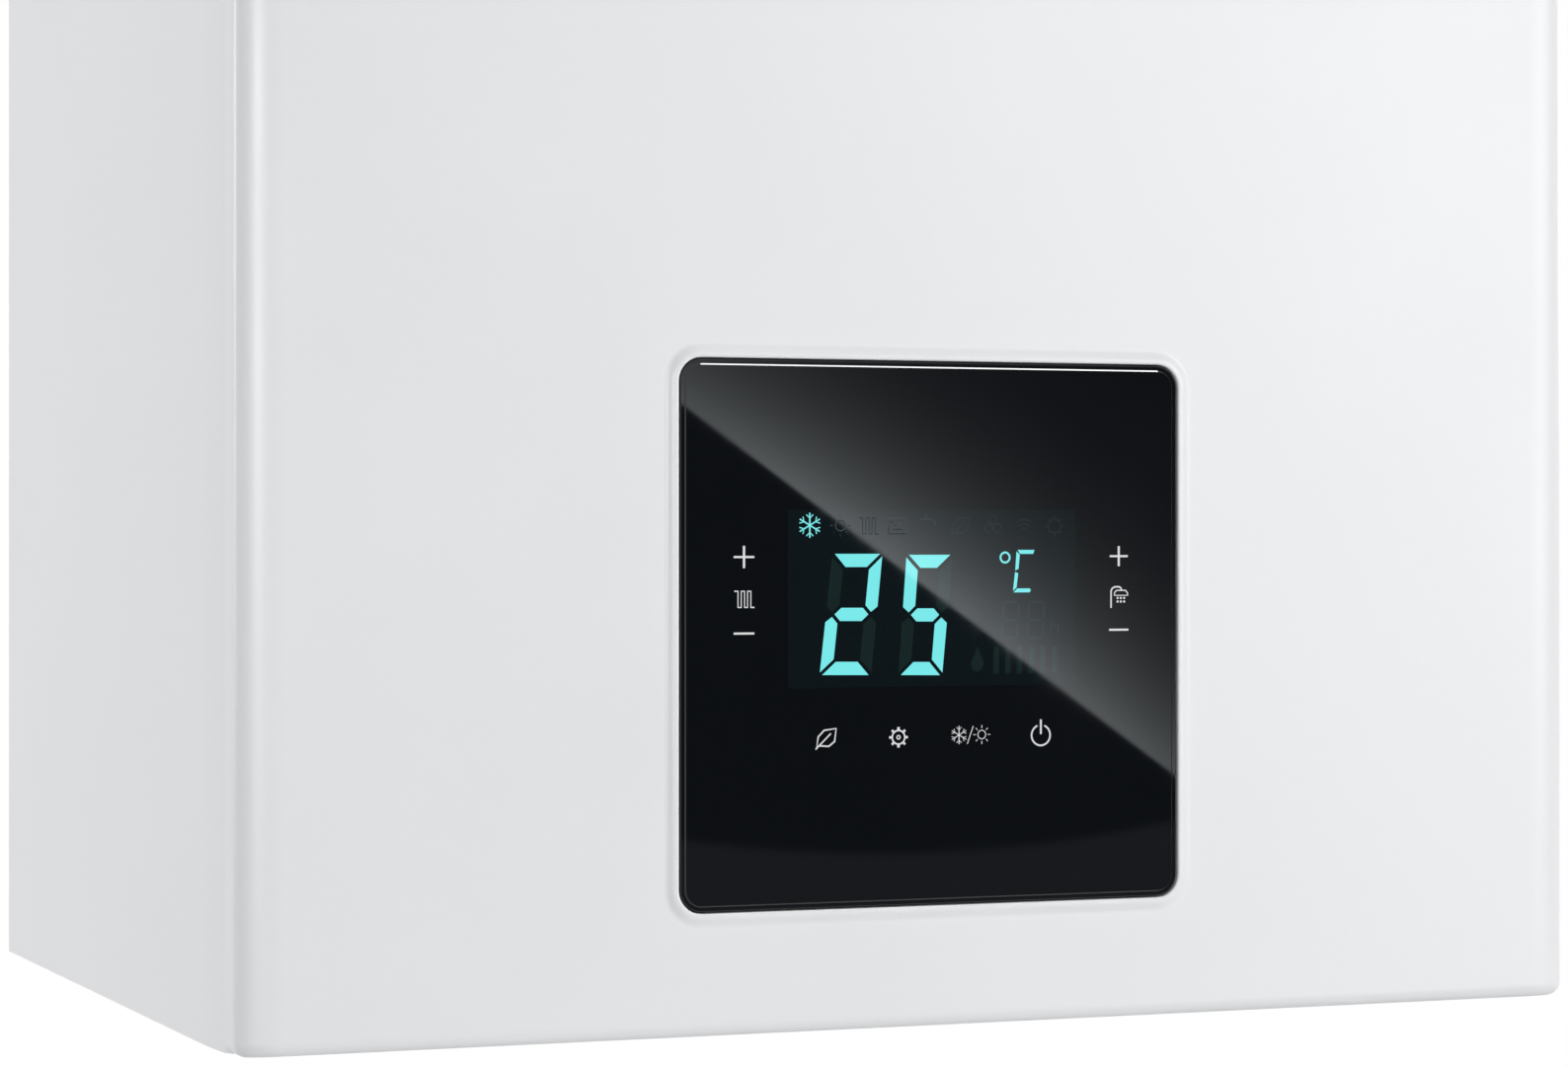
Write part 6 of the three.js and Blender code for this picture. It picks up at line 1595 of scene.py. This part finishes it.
# %% Board and its parts
BOARD_FACE = -262.0
board = box("main_board_sheet", (-125, 125), (BOARD_FACE, -260), (-611, -464))
finish(soften(board, 0.3), "circuit_board", "main_board")
PARTS_FOOT = -602.0
relays = [soften(box("relay", (x - 9, x + 9), (BOARD_FACE - 14, BOARD_FACE + 0.2),
                     (PARTS_FOOT, PARTS_FOOT + 18)), 0.7, 3) for x in (-100, -72, -44, -16, 12)]
finish(merge("board_relays", *relays), "blue_plastic", body="control_panel")
core = soften(box("transformer_core", (60, 104), (BOARD_FACE - 20, BOARD_FACE - 4),
                  (PARTS_FOOT, PARTS_FOOT + 36)), 0.6)
finish(core, "galvanised", body="control_panel")
winding = soften(box("transformer_winding", (66, 98), (BOARD_FACE - 23, BOARD_FACE + 0.2),
                     (PARTS_FOOT + 6, PARTS_FOOT + 30)), 2.5, 4)
finish(winding, "copper", body="control_panel")
cans = []
for x in (42, 78):
    can = lathe("can", "y", (x, -491), [
        (0, BOARD_FACE), (8.6, BOARD_FACE), (8.6, BOARD_FACE - 2), (8.1, BOARD_FACE - 2.8),
        (9, BOARD_FACE - 4), (9, BOARD_FACE - 21.6), (8, BOARD_FACE - 22.8), (6.8, BOARD_FACE - 23),
        (6.6, BOARD_FACE - 22.6), (0, BOARD_FACE - 22.6)], 48)
    cans.append(can)
finish(merge("board_capacitors", *cans), "black_plastic", body="control_panel")

# %% [markdown]
# ## Everything else, as refined copies
# The engineering solids of the inner pieces already have the right form. A copy of each is cleaned, its
# edges are rounded by the radius that its making leaves, and round parts are shaded round. The pump
# impeller and the gas manifold get less, because a wider rounding would run into itself there.

# %% Copies with soft edges
COPIES = {
    "sealed_chamber": ("aluminised_steel", 0.3),
    "chamber_lid_seal": ("seal_rubber", 0.5),
    "burner_bars": ("stainless", 0.4),
    "gas_manifold": ("brass", 0.15),
    "chamber_insulation": ("fibre", 0.8),
    "ignition_electrode": ("ceramic", 0.3),
    "flame_sensing_electrode": ("ceramic", 0.3),
    "overheat_thermostat": ("black_plastic", 0.4),
    "fan_housing": ("aluminised_steel", 0.4),
    "fan_impeller": ("stainless", 0.2),
    "vessel_pipe": ("copper", 0.2),
    "diverter_spindle": ("stainless", 0.3),
    "plate_heat_exchanger": ("stainless", 0.4),
    "pump_impeller": ("black_plastic", 0.15),
    "heating_flow_pipe": ("copper", 0.2),
    "heating_return_pipe": ("copper", 0.2),
    "gas_feed_pipe": ("copper", 0.2),
    "display_module": ("black_plastic", 0.3),
}
for node, (slot, edge) in COPIES.items():
    finish(soften(copy_of(node), edge, 2, 33), slot, node)
print("refined copies:", len(COPIES))

# %% [markdown]
# ## Floor, backdrop and lights
# The photograph is a studio picture on pure white. The world is white to the camera, to mirrors and to
# glass, and softer as a light. The floor is a wide pale disc far below the boiler, which hangs on a
# wall. It keeps the shadow near its middle and fades into the white of the backdrop towards its rim. A
# little light of its own keeps it pale where the lamps hardly reach it.
# Its underside is clear, so that the boiler can be looked at from below too.

# %% World and floor
WORLD_LIGHT = 0.13
FLOOR_Z = -1.45
FLOOR_LIFT = 0.3
FLOOR_RADIUS = 2.9
FLOOR_BORDER = 0.4
FADE_FROM, FADE_TO = 0.9, 2.6


def room_light(tree):
    """Tells rays of the camera, of mirrors and of clear glass from rays that only light. Returns one or
    zero for that, and how bright the white room is to the ray."""
    path = put(tree, "ShaderNodeLightPath")
    seen = put(tree, "ShaderNodeMath", {0: path.outputs["Is Camera Ray"], 1: path.outputs["Is Glossy Ray"]},
               operation="MAXIMUM")
    seen = put(tree, "ShaderNodeMath", {0: seen.outputs[0], 1: path.outputs["Is Transmission Ray"]},
               operation="MAXIMUM").outputs[0]
    level = put(tree, "ShaderNodeMapRange", {"Value": seen, "To Min": WORLD_LIGHT, "To Max": 1.0})
    return seen, level.outputs["Result"]


world = bpy.data.worlds.new("white_studio")
world.use_nodes = True
bpy.context.scene.world = world
sky = world.node_tree.nodes["Background"]
sky.inputs["Color"].default_value = (1, 1, 1, 1)
world.node_tree.links.new(room_light(world.node_tree)[1], sky.inputs["Strength"])

floor_finish, tree, shader = new_material("pale_studio_floor", "#f2f2f3", 0.7)
place = put(tree, "ShaderNodeTexCoord").outputs["Object"]
away = put(tree, "ShaderNodeVectorMath", {0: place, 1: (0, 0, -FLOOR_Z)}, operation="ADD")
away = put(tree, "ShaderNodeVectorMath", {0: away.outputs[0]}, operation="LENGTH")
fade = put(tree, "ShaderNodeMapRange", {"Value": away.outputs["Value"], "From Min": FADE_FROM,
                                        "From Max": FADE_TO}, interpolation_type="SMOOTHSTEP")
seen, level = room_light(tree)
lift = put(tree, "ShaderNodeMath", {0: seen, 1: FLOOR_LIFT}, operation="MULTIPLY")
shader.inputs["Emission Color"].default_value = (1, 1, 1, 1)
tree.links.new(lift.outputs[0], shader.inputs["Emission Strength"])
white = put(tree, "ShaderNodeEmission", {"Color": (1, 1, 1, 1), "Strength": level})
mixed = put(tree, "ShaderNodeMixShader",
            {0: fade.outputs["Result"], 1: shader.outputs[0], 2: white.outputs[0]})
clear = put(tree, "ShaderNodeBsdfTransparent")
side = put(tree, "ShaderNodeNewGeometry")
one_sided = put(tree, "ShaderNodeMixShader", {0: side.outputs["Backfacing"], 1: mixed.outputs[0],
                                              2: clear.outputs[0]})
tree.links.new(one_sided.outputs[0], tree.nodes["Material Output"].inputs["Surface"])

object_mode()
bpy.ops.mesh.primitive_circle_add(vertices=96, radius=FLOOR_RADIUS, fill_type="NGON",
                                  location=(0, 0, FLOOR_Z))
floor = new_piece("studio_floor")
edit_all(floor)
bpy.ops.mesh.inset(thickness=FLOOR_BORDER)
object_mode()
floor.data.materials.append(floor_finish)

# %% [markdown]
# ## A card for the glass to mirror
# The black glass shows the room in front of it: dark, with a bright area whose edge runs down across
# the pane and which fades away from that edge. A card far in front stands for that room. Only mirrors
# see it. It was placed by mirroring the camera in the glass.

# %% Cards


def mirror_card(name, material, place, size, rotation=(0, 0, 0)):
    """A card of the studio that only mirrors see."""
    object_mode()
    bpy.ops.mesh.primitive_plane_add(size=1, location=place, rotation=rotation)
    card = new_piece(name)
    edit_all(card)
    bpy.ops.transform.resize(value=size, center_override=place)
    object_mode()
    card.data.materials.append(material)
    for ray in ("camera", "diffuse", "transmission", "volume_scatter", "shadow"):
        setattr(card, "visible_" + ray, False)
    return card


# %% The room in front
CARD_Y = -2.5
EDGE_START = Vector((0.742, CARD_Y, -0.398))
EDGE_NORMAL = Vector((0.5706, 0, 0.8213))
EDGE_DIRECTION = Vector((0.8213, 0, -0.5706))
EDGE_HALF = 0.28
FADE_LENGTH = 0.05
card_finish, tree, shader = new_material("room_in_the_glass", "#000000", 0.9)
tree.nodes.remove(shader)
place = put(tree, "ShaderNodeTexCoord").outputs["Object"]
offset = put(tree, "ShaderNodeVectorMath", {0: place, 1: -EDGE_START}, operation="ADD")
past = put(tree, "ShaderNodeVectorMath", {0: offset.outputs[0], 1: EDGE_NORMAL}, operation="DOT_PRODUCT")
scaled = put(tree, "ShaderNodeMath", {0: past.outputs["Value"], 1: -1 / FADE_LENGTH}, operation="MULTIPLY")
fall = put(tree, "ShaderNodeMath", {0: math.e, 1: scaled.outputs[0]}, operation="POWER")
along = put(tree, "ShaderNodeVectorMath", {0: offset.outputs[0], 1: EDGE_DIRECTION}, operation="DOT_PRODUCT")
centred = put(tree, "ShaderNodeMath", {0: along.outputs["Value"], 1: EDGE_HALF}, operation="SUBTRACT")
angle = put(tree, "ShaderNodeMath", {0: centred.outputs[0], 1: math.pi / 2 / EDGE_HALF}, operation="MULTIPLY")
crest = put(tree, "ShaderNodeMath", {0: angle.outputs[0]}, operation="COSINE")
strength = put(tree, "ShaderNodeMath", {0: crest.outputs[0], 1: 1.1, 2: 1.7}, operation="MULTIPLY_ADD")
fall = put(tree, "ShaderNodeMath", {0: fall.outputs[0], 1: strength.outputs[0]}, operation="MULTIPLY")
edge = put(tree, "ShaderNodeMapRange",
           {"Value": past.outputs["Value"], "From Min": -0.002, "From Max": 0.002},
           interpolation_type="SMOOTHSTEP")
glare = put(tree, "ShaderNodeMath", {0: fall.outputs[0], 1: edge.outputs["Result"]}, operation="MULTIPLY")
ARC_MIDDLE = (0.957, CARD_Y, 0.62)
from_arc = put(tree, "ShaderNodeVectorMath", {0: place, 1: ARC_MIDDLE}, operation="SUBTRACT")
from_arc = put(tree, "ShaderNodeVectorMath", {0: from_arc.outputs[0]}, operation="LENGTH")
sill = put(tree, "ShaderNodeMapRange", {"Value": from_arc.outputs["Value"], "From Min": 1.395,
                                        "From Max": 1.402, "To Min": 0.03, "To Max": 0.15})
total = put(tree, "ShaderNodeMath", {0: glare.outputs[0], 1: sill.outputs["Result"]}, operation="ADD")
lamp = put(tree, "ShaderNodeEmission", {"Color": (0.92, 0.98, 1, 1), "Strength": total.outputs[0]})
tree.links.new(lamp.outputs[0], tree.nodes["Material Output"].inputs["Surface"])

card = mirror_card("room_card", card_finish, (0.97, CARD_Y, -0.60), (0.62, 1, 0.72), (math.radians(90), 0, 0))

# %% [markdown]
# ## A strip light above
# The facet along the top of the glass looks up, to where a strip light hangs in the studio. Only
# mirrors see this one, so the line turns bright and the white coat keeps its own light.

# %% Strip light above the glass
STRIP_PLACE = (0.72, -0.76, 1.1)
STRIP_SIZE = (0.6, 0.4, 1)
STRIP_LIGHT = 24
strip_finish, tree, shader = new_material("strip_light", "#ffffff", 0.9)
tree.nodes.remove(shader)
lamp = put(tree, "ShaderNodeEmission", {"Color": (1, 1, 1, 1), "Strength": STRIP_LIGHT})
tree.links.new(lamp.outputs[0], tree.nodes["Material Output"].inputs["Surface"])
strip = mirror_card("strip_card", strip_finish, STRIP_PLACE, STRIP_SIZE)

# %% [markdown]
# ## Lamps
# One large soft lamp in front on the right lights the cover, and one behind on the left lights the side
# panel. A smaller one stands near the camera, where the cover's rounded edge mirrors it as a soft bright
# line. A weak lamp low in front lifts the underside, and two more light the top and the right side from
# behind. All are low enough for the white coat to keep its shading.

# %% Lamps
LAMPS = [
    ("left_lamp", (-2.6, 0.5, 0.2), (-0.2, -0.15, -0.4), 1.6, 16.2, 120),
    ("right_lamp", (2.3, -3.0, 0.2), (0.1, -0.3, -0.45), 2.4, 16.8, 80),
    ("front_lamp", (-1.0, -3.2, -0.2), (-0.2, -0.29, -0.45), 0.7, 2.5, 60),
    ("low_lamp", (1.3, -2.0, -1.4), (0.1, -0.2, -0.6), 1.2, 3.2, 120),
    ("top_lamp", (0.1, 0.45, 1.7), (0.0, -0.1, 0.0), 0.8, 3.5, 60),
    ("back_lamp", (2.6, 0.9, 0.3), (0.2, -0.1, -0.3), 1.4, 5.5, 120)]
for name, place, target, size, watts, spread in LAMPS:
    lamp_data = bpy.data.lights.new(name, "AREA")
    lamp_data.shape = "DISK"
    lamp_data.size = size
    lamp_data.energy = watts
    lamp_data.spread = math.radians(spread)
    lamp = bpy.data.objects.new(name, lamp_data)
    lamp.location = place
    lamp.rotation_euler = (Vector(target) - Vector(place)).to_track_quat("-Z", "Y").to_euler()
    lamp.visible_camera = False
    bpy.context.scene.collection.objects.link(lamp)
